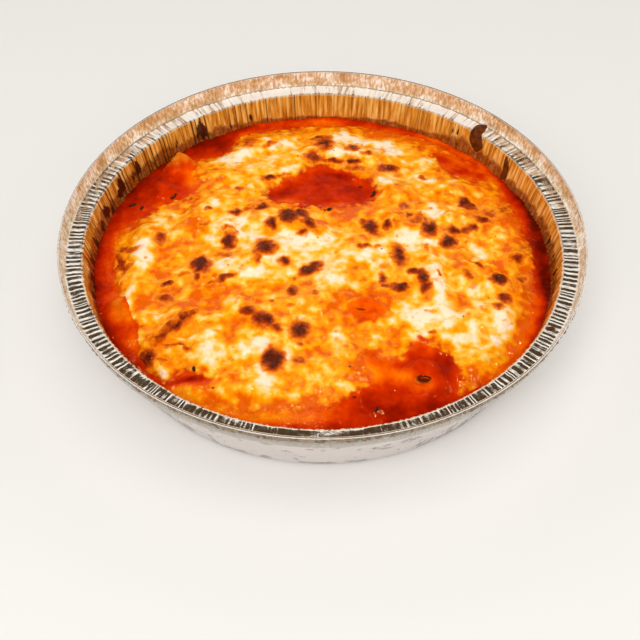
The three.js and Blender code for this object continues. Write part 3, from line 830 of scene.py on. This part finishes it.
def wall_rows():
    # The inner wall is gilded: baked-on oil, and painted reflection of the orange food.
    rows = [Row(wall_radius(z), z, wall=0.26, oil=1) for z in (WALL_FOOT_HEIGHT, 12)]
    for z in np.arange(17.5, 32.6, 1.25):
        rows.append(Row(wall_radius(z), z, wall=0.3, crinkle=0.07, crease=0.25, oil=1))
    rows.append(Row(LEDGE_INNER_RADIUS - 0.15, 32.7, wall=0.34, crinkle=0.05, crease=0.2, oil=0.8))
    return rows


def ledge_rows():
    rows = [Row(LEDGE_INNER_RADIUS + 0.2, LEDGE_HEIGHT - 0.05, wall=0.3, ledge=0.12, crinkle=0.08, oil=0.7)]
    for share in (0.14, 0.32, 0.5, 0.68, 0.86):
        radius = LEDGE_INNER_RADIUS + share * (LEDGE_OUTER_RADIUS - LEDGE_INNER_RADIUS)
        rows.append(Row(radius, LEDGE_HEIGHT, ledge=0.12, crinkle=0.04))
    rows.append(Row(LEDGE_OUTER_RADIUS, LEDGE_HEIGHT + 0.25, wall=0.08, ledge=0.1, crinkle=0.06, tan=0.9))
    return rows


def flange_rows():
    rows = []
    for share in (0.06, 0.2, 0.34, 0.48, 0.62, 0.76, 0.9):
        radius = LEDGE_OUTER_RADIUS + share * (RIM_RADIUS - BEAD_RADIUS - LEDGE_OUTER_RADIUS)
        height = LEDGE_HEIGHT + share * (PAN_HEIGHT - LEDGE_HEIGHT)
        rows.append(Row(radius, height, wall=0.06, crinkle=0.1, tan=1))
    return rows


def hem_rows():
    """The edge, folded over outwards: a thin bright bead, and the fold's ragged lower edge."""
    rows = []
    middle = RIM_RADIUS - BEAD_RADIUS
    for turn in range(-70, 91, 20):
        radius = middle + BEAD_RADIUS * math.sin(math.radians(turn))
        height = PAN_HEIGHT - BEAD_RADIUS * (1 - math.cos(math.radians(turn)))
        rows.append(Row(radius, height, crinkle=0.03, tan=0.2))
    # Below the bead the fold is painted dark khaki: painted shade.
    for drop, crinkle in ((0.7, 0.1), (1.6, 0.2), (3.0, 0.6)):
        radius = RIM_RADIUS - 0.5 * crinkle - 0.05
        rows.append(Row(radius, PAN_HEIGHT - drop, wall=0.1, crinkle=crinkle, hem=1))
    rows.append(Row(RIM_RADIUS - 0.9, PAN_HEIGHT - HEM_DROP, crinkle=0.5, hem=1))
    return rows


def outer_rows():
    under = LEDGE_HEIGHT - WALL
    rows = [Row(RIM_RADIUS - 1.2, PAN_HEIGHT - HEM_DROP - 0.5, crinkle=0.1, hem=0.6)]
    rows.append(Row(LEDGE_OUTER_RADIUS + 0.6, under, wall=0.05, ledge=0.1, crinkle=0.1))
    rows.append(Row(LEDGE_INNER_RADIUS + 3, under, ledge=0.14, crinkle=0.05))
    rows.append(Row(LEDGE_INNER_RADIUS + WALL + 0.2, under - 0.3, wall=0.1, ledge=0.1, crease=0.2))
    for z in np.arange(30, 5, -2.4):
        rows.append(Row(wall_radius(z) + WALL + 0.15, z, wall=0.1, crinkle=0.05, crease=0.8))
    rows += corner_rows((60, 35), 0, 0.5)
    return rows + [Row(FLOOR_RADIUS, 0), Row(PANEL_RADIUS + PANEL_SLOPE, 0), Row(PANEL_RADIUS, PANEL_RISE)]


def pleat_columns():
    """Irregular pleats round the pan: each column's angle, fold from -1 to 1, and how deep a groove it is."""
    random = np.random.default_rng(5)
    widths = random.uniform(0.4, 1.6, PLEATS)
    widths /= widths.sum()
    starts = np.cumsum(widths) - widths
    angle = 2 * math.pi * (starts[:, None] + widths[:, None] * np.array(PLEAT_COLUMNS))
    peak = random.uniform(0.3, 1.0, PLEATS)
    valley = random.uniform(0.3, 1.0, PLEATS)
    fold = np.stack([peak, -valley, -valley, np.roll(peak, -1)], 1)
    depth = random.uniform(0.3, 1.3, PLEATS) * around_pan(np.degrees(angle[:, 0]), GROOVE_DEPTHS)
    groove = np.stack([0 * depth, depth, 0.5 * depth, 0 * depth], 1)
    return angle.ravel(), fold.ravel(), groove.ravel()


def around_pan(azimuth, values):
    """A value at an azimuth in degrees, between the ones listed in a table of azimuths."""
    return np.interp(azimuth, list(values), list(values.values()), period=360)


def wall_marks(angle, height):
    """How burnt the wall is at an angle and height, from 0 to 1 and more."""
    dark = np.zeros(angle.shape)
    for azimuth, z, wide, tall, strength in WALL_MARKS:
        turn = (np.degrees(angle) - azimuth + 180) % 360 - 180
        across = np.radians(turn) * wall_radius(z) / wide
        dark = np.maximum(dark, strength * np.exp(-0.7 * (across ** 2 + ((height - z) / tall) ** 2)))
    return dark


def smear(angle, height):
    """How much baked-on sauce browns the wall at an angle and height, from 0 to 1."""
    reach = around_pan(np.degrees(angle), SMEAR_HEIGHTS)
    reach = reach * (1 + 0.45 * noise(angle * RIM_RADIUS, 0, 5, 151, 2))
    return 1 - smooth_step(height - EDGE_LEVEL, 0.35 * reach, reach + 1.5)


def row_look(row, run, angle, height, groove):
    """The fields of one ring of the pan, which lies at a run of so many millimetres along its section."""
    even = 0 * angle
    inside = row.oil > 0.5
    return {
        "oil": even + row.oil,
        "tan": even + row.tan,
        "hem": even + row.hem,
        # The ledge's painted reflection, by azimuth.
        "painted_reflection": around_pan(np.degrees(angle), LEDGE_PAINTED_REFLECTION) if row.ledge > 0.1 else even,
        "crumple": even + (1.0 if row.crease > 0.4 else 0.1),
        "groove": groove if inside else 0.35 * groove,
        "burnt": wall_marks(angle, height) if inside else even,
        "smeared": smear(angle, height) if inside else even,
        "strip": around(STRIP_RADIUS, angle, run),
    }


def make_pan():
    rows = pan_rows()
    angle, fold, groove = pleat_columns()
    points, looks = [], []
    run = 0.0
    for before, row in zip(rows[:1] + rows, rows):
        run += math.hypot(row.radius - before.radius, row.z - before.z)
        arc = angle * row.radius
        rough = noise(arc, 1.7 * run, 1.5, 101, 2)
        soft = noise(arc, 0.8 * run, 7, 111, 2)
        lean = 2.4 * noise(arc, 0.1 * run, 8, 161, 2)
        radius = row.radius + row.wall * fold + row.crinkle * rough + 0.5 * row.crease * soft
        height = row.z + row.ledge * (fold + lean) + 0.5 * row.crinkle * rough
        points.append(around(radius, angle, height))
        looks.append(row_look(row, run, angle, height, groove))
    points.append([[0, 0, PANEL_RISE + WALL], [0, 0, PANEL_RISE]])
    fields = {}
    for key, first in looks[0].items():
        fields[key] = np.concatenate([look[key] for look in looks] + [0 * first[:2]])
    columns = len(angle)
    top = len(rows) * columns
    faces = [face[::-1] for face in ring_faces(len(rows), columns)]
    faces += fan(top, range(columns)) + fan(top + 1, range(top - columns, top)[::-1])
    pan = make_piece("foil_pan_pleated", np.concatenate(points), faces, foil_material(), fields)
    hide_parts("foil_pan")


def foil_material():
    shader = Shader("foil", Metallic=1.0, Roughness=0.2)
    shader.follow("strip")
    streak = shader.noise(1.4, 4, stretch=(1, 1, 9))
    mottle = shader.noise(1.6, 3)
    brushed = shader.sway(shader.noise(0.9, 3, stretch=(1, 1, 2.4)), shader.noise(9, 2), 0.8)
    # Gold for the inner wall: baked-on oil, and painted reflection of the orange food.
    reflected_oil_gold = shader.ramp(streak, [(0.32, (156, 90, 14)), (0.5, (218, 152, 50)), (0.7, (250, 212, 130))])
    tanned = shader.ramp(brushed, [(0.26, (186, 140, 88)), (0.48, (222, 184, 138)), (0.7, (255, 250, 240))])
    # Painted shade under the bead: dark khaki browns on the hem.
    hem_shade_colour = shader.ramp(mottle, [(0.35, (70, 52, 30)), (0.6, (150, 126, 92))])
    sauce = shader.ramp(mottle, [(0.32, (78, 22, 0)), (0.55, (142, 54, 2)), (0.8, (200, 100, 14))])
    oil, tan, hem = (shader.field(name) for name in ("oil", "tan", "hem"))
    # Painted reflection: the ledge is whitened and made less metallic, by azimuth.
    painted_reflection = shader.step(shader.sway(shader.field("painted_reflection"), streak, 1.1), 0.3, 0.6, 0, 0.8)
    smeared = shader.sway(shader.field("smeared"), streak, 1.1)
    groove = shader.sway(shader.field("groove"), streak, 0.9)
    burnt = shader.sway(shader.field("burnt"), shader.noise(1.3, 3, stretch=(1, 1, 3)), 1.3)
    charred = shader.step(burnt, 0.38, 0.62)
    colour = shader.mix(shader.field("crumple"), linear((253, 245, 234)), linear((234, 227, 224)))
    layers = [
        (tan, tanned),
        (painted_reflection, linear((255, 252, 246))),
        (hem, hem_shade_colour),
        (oil, reflected_oil_gold),
        (shader.step(smeared, 0.3, 0.75, 0, 0.85), sauce),
        (shader.step(groove, 0.4, 0.85, 0, 0.9), linear((62, 36, 10))),
        (charred, linear((60, 22, 4))),
    ]
    for share, layer in layers:
        colour = shader.mix(share, colour, layer)
    shader.drive("Base Color", colour)
    dull = shader.step(smeared, 0.3, 0.75)
    # Where the wall is gilded or the hem carries painted shade, the foil is less metallic.
    dulled_oil_and_shade = shader.math("MULTIPLY", shader.math("MAXIMUM", oil, hem), 0.75)
    for coat in (charred, dulled_oil_and_shade, shader.math("MULTIPLY", tan, 0.8), painted_reflection):
        dull = shader.math("MAXIMUM", dull, coat)
    shader.drive("Metallic", shader.step(dull, 0.0, 1.0, 1.0, 0.1))
    shader.drive("Roughness", shader.step(mottle, 0.3, 0.7, 0.09, 0.22))
    relief = shader.bump(shader.math("MULTIPLY", shader.noise(11, 2), shader.field("crumple")), 2.6)
    relief = shader.bump(streak, 0.12, relief)
    shader.drive("Normal", shader.bump(mottle, 0.1, relief))
    return shader.material


# ---------------------------------------------------------------- baked-on drips

# Places along the pan's section inside: length run, radius, height.
SECTION = [(4, 91.6, 4), (33.2, 98.8, 33.2), (40.2, 105.8, 33.2), (46.6, 107.4, 39.5)]

# Drips that ran over the wall and the ledge: half width, thickness, then azimuth and run along them.
DRIPS = {
    "wide": (3.7, 0.6, [(43.0, 25.0), (43.6, 28.5), (44.2, 32), (44.7, 35), (45, 38), (44.5, 41)]),
    "narrow": (2.0, 0.45, [(31.8, 21.5), (31.5, 25), (31.9, 29), (33.0, 32.4)]),
    "ledge_spot": (0.9, 0.3, [(-30.4, 34.6), (-30.0, 36), (-29.6, 37.6)]),
}
DRIP_ROWS = 32
DRIP_COLUMNS = 12
# Widths are measured round the pan at this radius.
DRIP_RADIUS = 98


def on_section(azimuth, run, lift):
    """The place at an azimuth and run along the pan's inside, raised off the foil."""
    runs, radii, heights = zip(*SECTION)
    samples = run + np.linspace(-0.8, 0.8, 5)
    radius = np.interp(samples, runs, radii)
    height = np.interp(samples, runs, heights)
    dr, dz = radius[-1] - radius[0], height[-1] - height[0]
    size = math.hypot(dr, dz)
    r = radius.mean() - lift * dz / size
    z = height.mean() + lift * dr / size
    return [*polar(r, math.radians(azimuth)), z]


def make_drips():
    points, faces = [], []
    for index, (half, thick, path) in enumerate(DRIPS.values()):
        first = len(points)
        azimuths, runs = np.array(path).T
        for row in range(DRIP_ROWS):
            share = (row + 0.5) / DRIP_ROWS
            azimuth = np.interp(share, np.linspace(0, 1, len(path)), azimuths)
            run = np.interp(share, np.linspace(0, 1, len(path)), runs)
            wide = half * math.sin(math.pi * share ** 0.7) ** 0.7 * (1 + 0.18 * math.sin(9 * share + index))
            for column in range(DRIP_COLUMNS):
                turn = 2 * math.pi * column / DRIP_COLUMNS
                across = wide * math.cos(turn)
                lift = 0.15 + thick * math.sin(turn) * (wide / half) ** 0.5
                points.append(on_section(azimuth + math.degrees(across / DRIP_RADIUS), run, max(lift, -0.3)))
        faces += ring_faces(DRIP_ROWS, DRIP_COLUMNS, first)
        faces.append(range(first, first + DRIP_COLUMNS)[::-1])
        faces.append(range(len(points) - DRIP_COLUMNS, len(points)))
    shader = Shader("burnt_sauce", Roughness=0.3, Specular_IOR_Level=0.15)
    shader.drive("Base Color", shader.ramp(shader.noise(2.4, 3), [(0.3, (56, 20, 2)), (0.7, (122, 56, 10))]))
    shader.drive("Normal", shader.bump(shader.noise(1.0, 2), 0.12))
    drips = make_piece("burnt_drips", points, faces, shader.material)


# ---------------------------------------------------------------- sauce and pasta

BED_RINGS = 140
# How far the bed's edge reaches into the wall, and the height of its underside.
INTO_WALL = 0.45
BED_FLOOR = 1.4


def make_bed():
    share, angle, faces, rim = disc_grid(BED_RINGS)
    creep = 0.9 * noise(angle * FOOD_RADIUS, 0, 9, 121, 3) + 0.9
    near_wall = np.exp(-(1 - share) * FOOD_RADIUS / 1.8)
    radius = share * FOOD_RADIUS
    z = bed_top(*polar(radius, angle)) + creep * near_wall
    radius = radius + near_wall * (wall_radius(z) - FOOD_RADIUS + INTO_WALL)
    x, y = polar(radius, angle)
    top = np.stack([x, y, z], 1)
    low = ((wall_radius(12), 12), (FLOOR_RADIUS, BED_FLOOR), (PANEL_RADIUS, BED_FLOOR))
    skirt = [around(low_radius, angle[rim:], low_z) for low_radius, low_z in low]
    points = np.concatenate([top] + skirt + [[[0, 0, BED_FLOOR]]])
    columns = len(angle) - rim
    middle = len(points) - 1
    faces += [face[::-1] for face in ring_faces(4, columns, rim)]
    faces += fan(middle, range(middle - columns, middle)[::-1])
    cover, u, v = cheese_cover(x, y, z)
    orange = sauce_tone(x, y, u, v, cover) - 0.24 * np.exp(-(1 - share) * FOOD_RADIUS / 3)
    bubbly = 0.08 + added_spots(u, v, BUBBLY_PATCHES)
    rest = np.zeros(len(points) - len(top))
    fields = {"orange": np.concatenate([orange, rest]), "bubbly": np.concatenate([bubbly, rest])}
    bed = make_piece("sauce_and_pasta_bed", points, faces, sauce_material(), fields)
    lay_flat(bed, len(top), LEDGE_INNER_RADIUS)
    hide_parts("pasta_and_sauce")
    return bed


SAUCE_COLOURS = [(0.0, (96, 10, 0)), (0.2, (162, 24, 0)), (0.4, (208, 46, 0)), (0.6, (236, 88, 0)),
                 (0.8, (252, 130, 4)), (1.0, (255, 168, 30))]
# The warm colour of what shines in oil.
OILY_TINT = (1.0, 0.75, 0.4, 1.0)


def sauce_colour(shader):
    return shader.ramp(shader.sway(shader.field("orange"), shader.noise(2.2, 4), 0.22), SAUCE_COLOURS)


def sauce_material():
    shader = Shader("sauce", Roughness=0.09, Specular_Tint=OILY_TINT)
    shader.drive("Base Color", sauce_colour(shader))
    bubbly = shader.field("bubbly")
    shader.drive("Specular IOR Level", shader.step(bubbly, 0.3, 0.9, 0.03, 0.2))
    fine = shader.math("MULTIPLY", shader.noise(2.4, 1), bubbly)
    relief = shader.bump(shader.noise(7, 2), 0.3)
    shader.drive("Normal", shader.bump(fine, 1.8, relief))
    return shader.material


# ---------------------------------------------------------------- cheese

CHEESE_RINGS = 136
CHEESE_REACH = 93.0
# The usual height of the cheese over the sauce, by which its patterns are laid out on the map.
CHEESE_RISE = 2.3
# How far its hidden underside lies below the sauce.
SHEET_DEPTH = 1.0
# Cheese this far or more below the sauce is left out.
HIDDEN_BY = 0.5


def cheese_facts(x, y, level):
    """How far the cheese's top stands over the sauce, and its fields."""
    cover, edge_u, edge_v = cheese_cover(x, y, level)
    u, v = on_map(x, y, level + CHEESE_RISE * smooth_step(cover, 0, 8))
    brown, relief = brownness(x, y, u, v)
    pale = paleness(x, y, u, v, cover)
    lip = (0.2 + 0.25 * noise(x, y, 14, 145)) * (1 - np.exp(-np.maximum(cover, 0) / 1.3))
    body = smooth_step(cover, 0, 8) * (0.6 + 1.2 * np.clip(pale, 0, 1.2))
    thick = np.where(cover > 0, lip + body, 0.55 * cover)
    blister = smooth_step(brown, 0.4, 0.95)
    raised = blister * (0.6 + 0.5 * noise(x, y, 1.8, 141)) + relief + 0.14 * noise(x, y, 3.2, 147, 2)
    bubbly = 0.25 + added_spots(u, v, BUBBLY_PATCHES) + 0.7 * blister
    orange = sauce_tone(x, y, edge_u, edge_v, cover)
    fields = {"pale": pale, "brown": brown, "bubbly": bubbly, "cover": cover, "orange": orange}
    return thick + raised * smooth_step(cover, 0, 2), fields


def make_cheese():
    share, angle, cells, _ = disc_grid(CHEESE_RINGS)
    x, y = polar(share * CHEESE_REACH, angle)
    level = bed_top(x, y)
    thick, fields = cheese_facts(x, y, level)
    cells = np.array(cells)
    cells = cells[(thick[cells] > -HIDDEN_BY).all(1)]
    used = np.unique(cells)
    cells = np.searchsorted(used, cells)
    count = len(used)
    upper = np.stack([x, y, level + thick], 1)[used]
    lower = np.stack([x, y, np.minimum(level - SHEET_DEPTH, level + thick - 0.4)], 1)[used]
    faces = cells.tolist()
    faces += (cells[:, ::-1] + count).tolist()
    faces += [(b, a, a + count, b + count) for a, b in rim_edges(cells).tolist()]
    fields = {key: np.tile(values[used], 2) for key, values in fields.items()}
    cheese = make_piece("cheese_sheet", np.concatenate([upper, lower]), faces, cheese_material(), fields)
    lay_flat(cheese, count, CHEESE_REACH)
    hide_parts("melted_cheese")
    return cheese


CHEESE_COLOURS = [(0.0, (230, 94, 0)), (0.16, (244, 122, 2)), (0.34, (252, 150, 4)), (0.5, (255, 172, 18)),
                  (0.66, (254, 194, 82)), (0.82, (252, 211, 146)), (1.0, (250, 227, 194))]
SCORCH_COLOURS = [(0.16, (250, 158, 16)), (0.34, (238, 122, 6)), (0.5, (206, 86, 4)), (0.66, (164, 54, 4)),
                  (0.86, (116, 32, 4)), (1.0, (86, 22, 3))]


def cheese_material():
    shader = Shader("cheese", Specular_IOR_Level=0.12, Specular_Tint=OILY_TINT)
    bubbles = shader.cells(6, 4)
    mottle = shader.noise(3.6, 3, roughness=0.42)
    pale = shader.sway(shader.field("pale"), mottle, 1.4)
    pale = shader.math("SUBTRACT", pale, shader.math("MULTIPLY", shader.math("SUBTRACT", bubbles, 0.4), 0.4))
    thick = shader.step(shader.sway(shader.field("cover"), mottle, 8), 0.2, 3.4)
    colour = shader.mix(thick, sauce_colour(shader), shader.ramp(pale, CHEESE_COLOURS))
    brown = shader.sway(shader.field("brown"), shader.noise(3, 2), 0.3)
    scorched = shader.ramp(shader.sway(brown, shader.noise(1.4, 2), 0.45), SCORCH_COLOURS)
    shader.drive("Base Color", shader.mix(shader.step(brown, 0.1, 0.34), colour, scorched))
    shader.drive("Roughness", shader.step(pale, 0.3, 0.9, 0.09, 0.2))
    fine = shader.math("MULTIPLY", shader.noise(2, 1), shader.field("bubbly"))
    relief = shader.bump(shader.math("SUBTRACT", shader.noise(5, 2), bubbles), 0.9)
    shader.drive("Normal", shader.bump(fine, 1.5, relief))
    return shader.material


# ---------------------------------------------------------------- bare tubes

# The foot of a bore without a hole of its own.
CLOSED_HOLE = (0.3, 0.3, 0.0)
TUBE_SIDES = 72
# How round the rim is, as a share of the tube's radius.
TUBE_LIP = 0.15


def tube_section(length):
    """A tube's section, up the outside and into the bore: share of the radius, place along the tube, and how
    far the bore has narrowed to its hole, from 0 to 1."""
    rows = [(1.0, -length + (length - 1.6) * i / 24, 0) for i in range(25)]
    middle = 1 - TUBE_LIP
    lip = TUBE_LIP * TUBE_RADIUS
    for turn in range(20, 161, 20):
        a = math.radians(turn)
        rows.append((middle + TUBE_LIP * math.cos(a), (math.sin(a) - 1) * lip, 0))
    low = 1 - 2 * TUBE_LIP
    rows += [(low, -lip - 1.0 * (i / 10) ** 1.8, (i / 10) ** 0.8) for i in range(1, 11)]
    return rows + [(low, -lip - 1.0 - 0.3 * i, 1) for i in range(1, 4)]


def tube_points(facts, rows, seed):
    """The rings of a tube's section and the middles of its two ends, where it stands in the food."""
    half_width, half_height, aside = facts.hole or CLOSED_HOLE
    turn = 2 * math.pi * np.arange(TUBE_SIDES) / TUBE_SIDES
    points = []
    for share, along, inward in rows:
        wobble = 1 + 0.04 * noise(turn * 3, along, 2.6, seed, 2)
        high = (share * facts.squash * (1 - inward) + half_height * inward) * TUBE_RADIUS
        wide = (share * (1 - inward) + half_width * inward) * TUBE_RADIUS
        shifted = wide * wobble * np.sin(turn) + aside * inward * TUBE_RADIUS
        points.append(np.stack([high * wobble * np.cos(turn), shifted, 0 * turn + along], 1))
    points.append([[0, 0, -facts.length], [0, aside * TUBE_RADIUS, rows[-1][1]]])
    lean, heading = math.radians(facts.lean), math.radians(facts.heading)
    stand = np.array(Matrix.Rotation(heading, 3, "Z") @ Matrix.Rotation(lean, 3, "Y"))
    return np.concatenate(points) @ stand.T + np.array([facts.x, facts.y, facts.z])


def make_tube(name, facts, seed, material):
    rows = tube_section(facts.length)
    points = tube_points(facts, rows, seed)
    bottom = len(rows) * TUBE_SIDES
    faces = ring_faces(len(rows), TUBE_SIDES) + fan(bottom, range(TUBE_SIDES)[::-1])
    faces += fan(bottom + 1, range(bottom - TUBE_SIDES, bottom))
    x, y, z = points.T
    above = z - bed_top(x, y)
    end = y[above > -2.5]
    bare = facts.near_bare + (facts.far_bare - facts.near_bare) * smooth_step(y, end.min(), end.max())
    coat = 0.6 - 0.6 * smooth_step(above, 0.2, 2.4)
    shares, _, inward = np.repeat(np.array(rows, float).T, TUBE_SIDES, 1)
    if facts.fill is not None:
        coat[:bottom] = np.maximum(coat[:bottom], 0.7 * smooth_step(shares, 0.74, 0.96))
    cover, u, v = cheese_cover(x, y, z)
    tone = sauce_tone(x, y, u, v, cover)
    # The depth field carries painted shade down each bore, darkest at its hole.
    fields = {"bare": bare * (1 - coat), "depth": np.append(inward, [0, 1]), "orange": tone}
    tube = make_piece("bare_tube_" + name, points, faces, material, fields)
    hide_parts("pasta_tube_" + name)
    return tube


PASTA_COLOURS = [(0.25, (196, 54, 0)), (0.5, (212, 84, 4)), (0.75, (226, 114, 16)), (1.0, (240, 152, 50))]


def pasta_material():
    shader = Shader("pasta_tubes", Roughness=0.09, Specular_IOR_Level=0.03, Specular_Tint=OILY_TINT)
    bare = shader.sway(shader.field("bare"), shader.noise(3.5, 4), 0.9)
    colour = shader.mix(shader.step(bare, 0.15, 0.65), sauce_colour(shader), shader.ramp(bare, PASTA_COLOURS))
    # Painted shade: the bore darkens towards its hole.
    colour = shader.mix(shader.step(shader.field("depth"), 0.45, 0.9), colour, linear((96, 30, 4)))
    shader.drive("Base Color", colour)
    shader.drive("Normal", shader.bump(shader.noise(2.6, 3), 0.35))
    return shader.material


# ---------------------------------------------------------------- flecks

FLECK_ROWS = 7
FLECK_COLUMNS = 10


def crumb(length, turn, random):
    """The points of one uneven flat grain, round its own middle."""
    points = []
    for row in range(FLECK_ROWS):
        rise = math.pi * (row / (FLECK_ROWS - 1) - 0.5)
        for column in range(FLECK_COLUMNS):
            side = 2 * math.pi * column / FLECK_COLUMNS
            bent = length * math.cos(rise) * (1 + random.uniform(-0.22, 0.22))
            dx, dy = turned(0.5 * bent * math.cos(side), 0.28 * bent * math.sin(side), -turn)
            points.append([dx, dy, 0.2 * length * math.sin(rise)])
    return points


def make_flecks():
    """Small crumbs of herb and char that lie on the sauce and cheese."""
    random = np.random.default_rng(17)
    places = list(FLECKS)
    for _ in range(RANDOM_FLECKS):
        radius = FLECKS_REACH * math.sqrt(random.uniform(0, 1))
        azimuth = random.uniform(0, 2 * math.pi)
        size = random.uniform(0.5, 1.1)
        places.append((*polar(radius, azimuth), size, random.uniform(0, 180)))
    points, faces = [], []
    for x, y, length, turn in places:
        faces += ring_faces(FLECK_ROWS, FLECK_COLUMNS, len(points))
        points += (resting_place(x, y) + crumb(length, turn, random)).tolist()
    shader = Shader("char", Roughness=0.4, Specular_IOR_Level=0.1)
    shader.drive("Base Color", shader.ramp(shader.noise(1.0, 2), [(0.3, (28, 10, 2)), (0.7, (74, 30, 8))]))
    flecks = make_piece("dark_flecks", points, faces, shader.material)
    return flecks


def resting_place(u, v):
    """The point on the sauce, or just above it on the cheese, that the map's u, v shows."""
    x, y = np.array([u]), np.array([v])
    for _ in range(4):
        z = bed_top(x, y)
        share = (z - EYE[2]) / (MAP_HEIGHT - EYE[2])
        x, y = EYE[0] + (u - EYE[0]) * share, EYE[1] + (v - EYE[1]) * share
    cover = cheese_cover(x, y, z)[0][0]
    lift = 1.9 if cover > 4 else 0.15 if cover < 0 else 0.9
    return np.array([x[0], y[0], z[0] + lift])


# ---------------------------------------------------------------- build

make_camera()
make_world()
make_floor()
bpy.context.scene.view_settings.view_transform = "Standard"

make_pan()
make_drips()
food_pieces = [make_bed(), make_cheese(), make_flecks()]
pasta = pasta_material()
for tube_seed, (tube_name, tube_facts) in enumerate(TUBES.items(), 200):
    food_pieces.append(make_tube(tube_name, tube_facts, tube_seed, pasta))
make_lights(food_pieces)
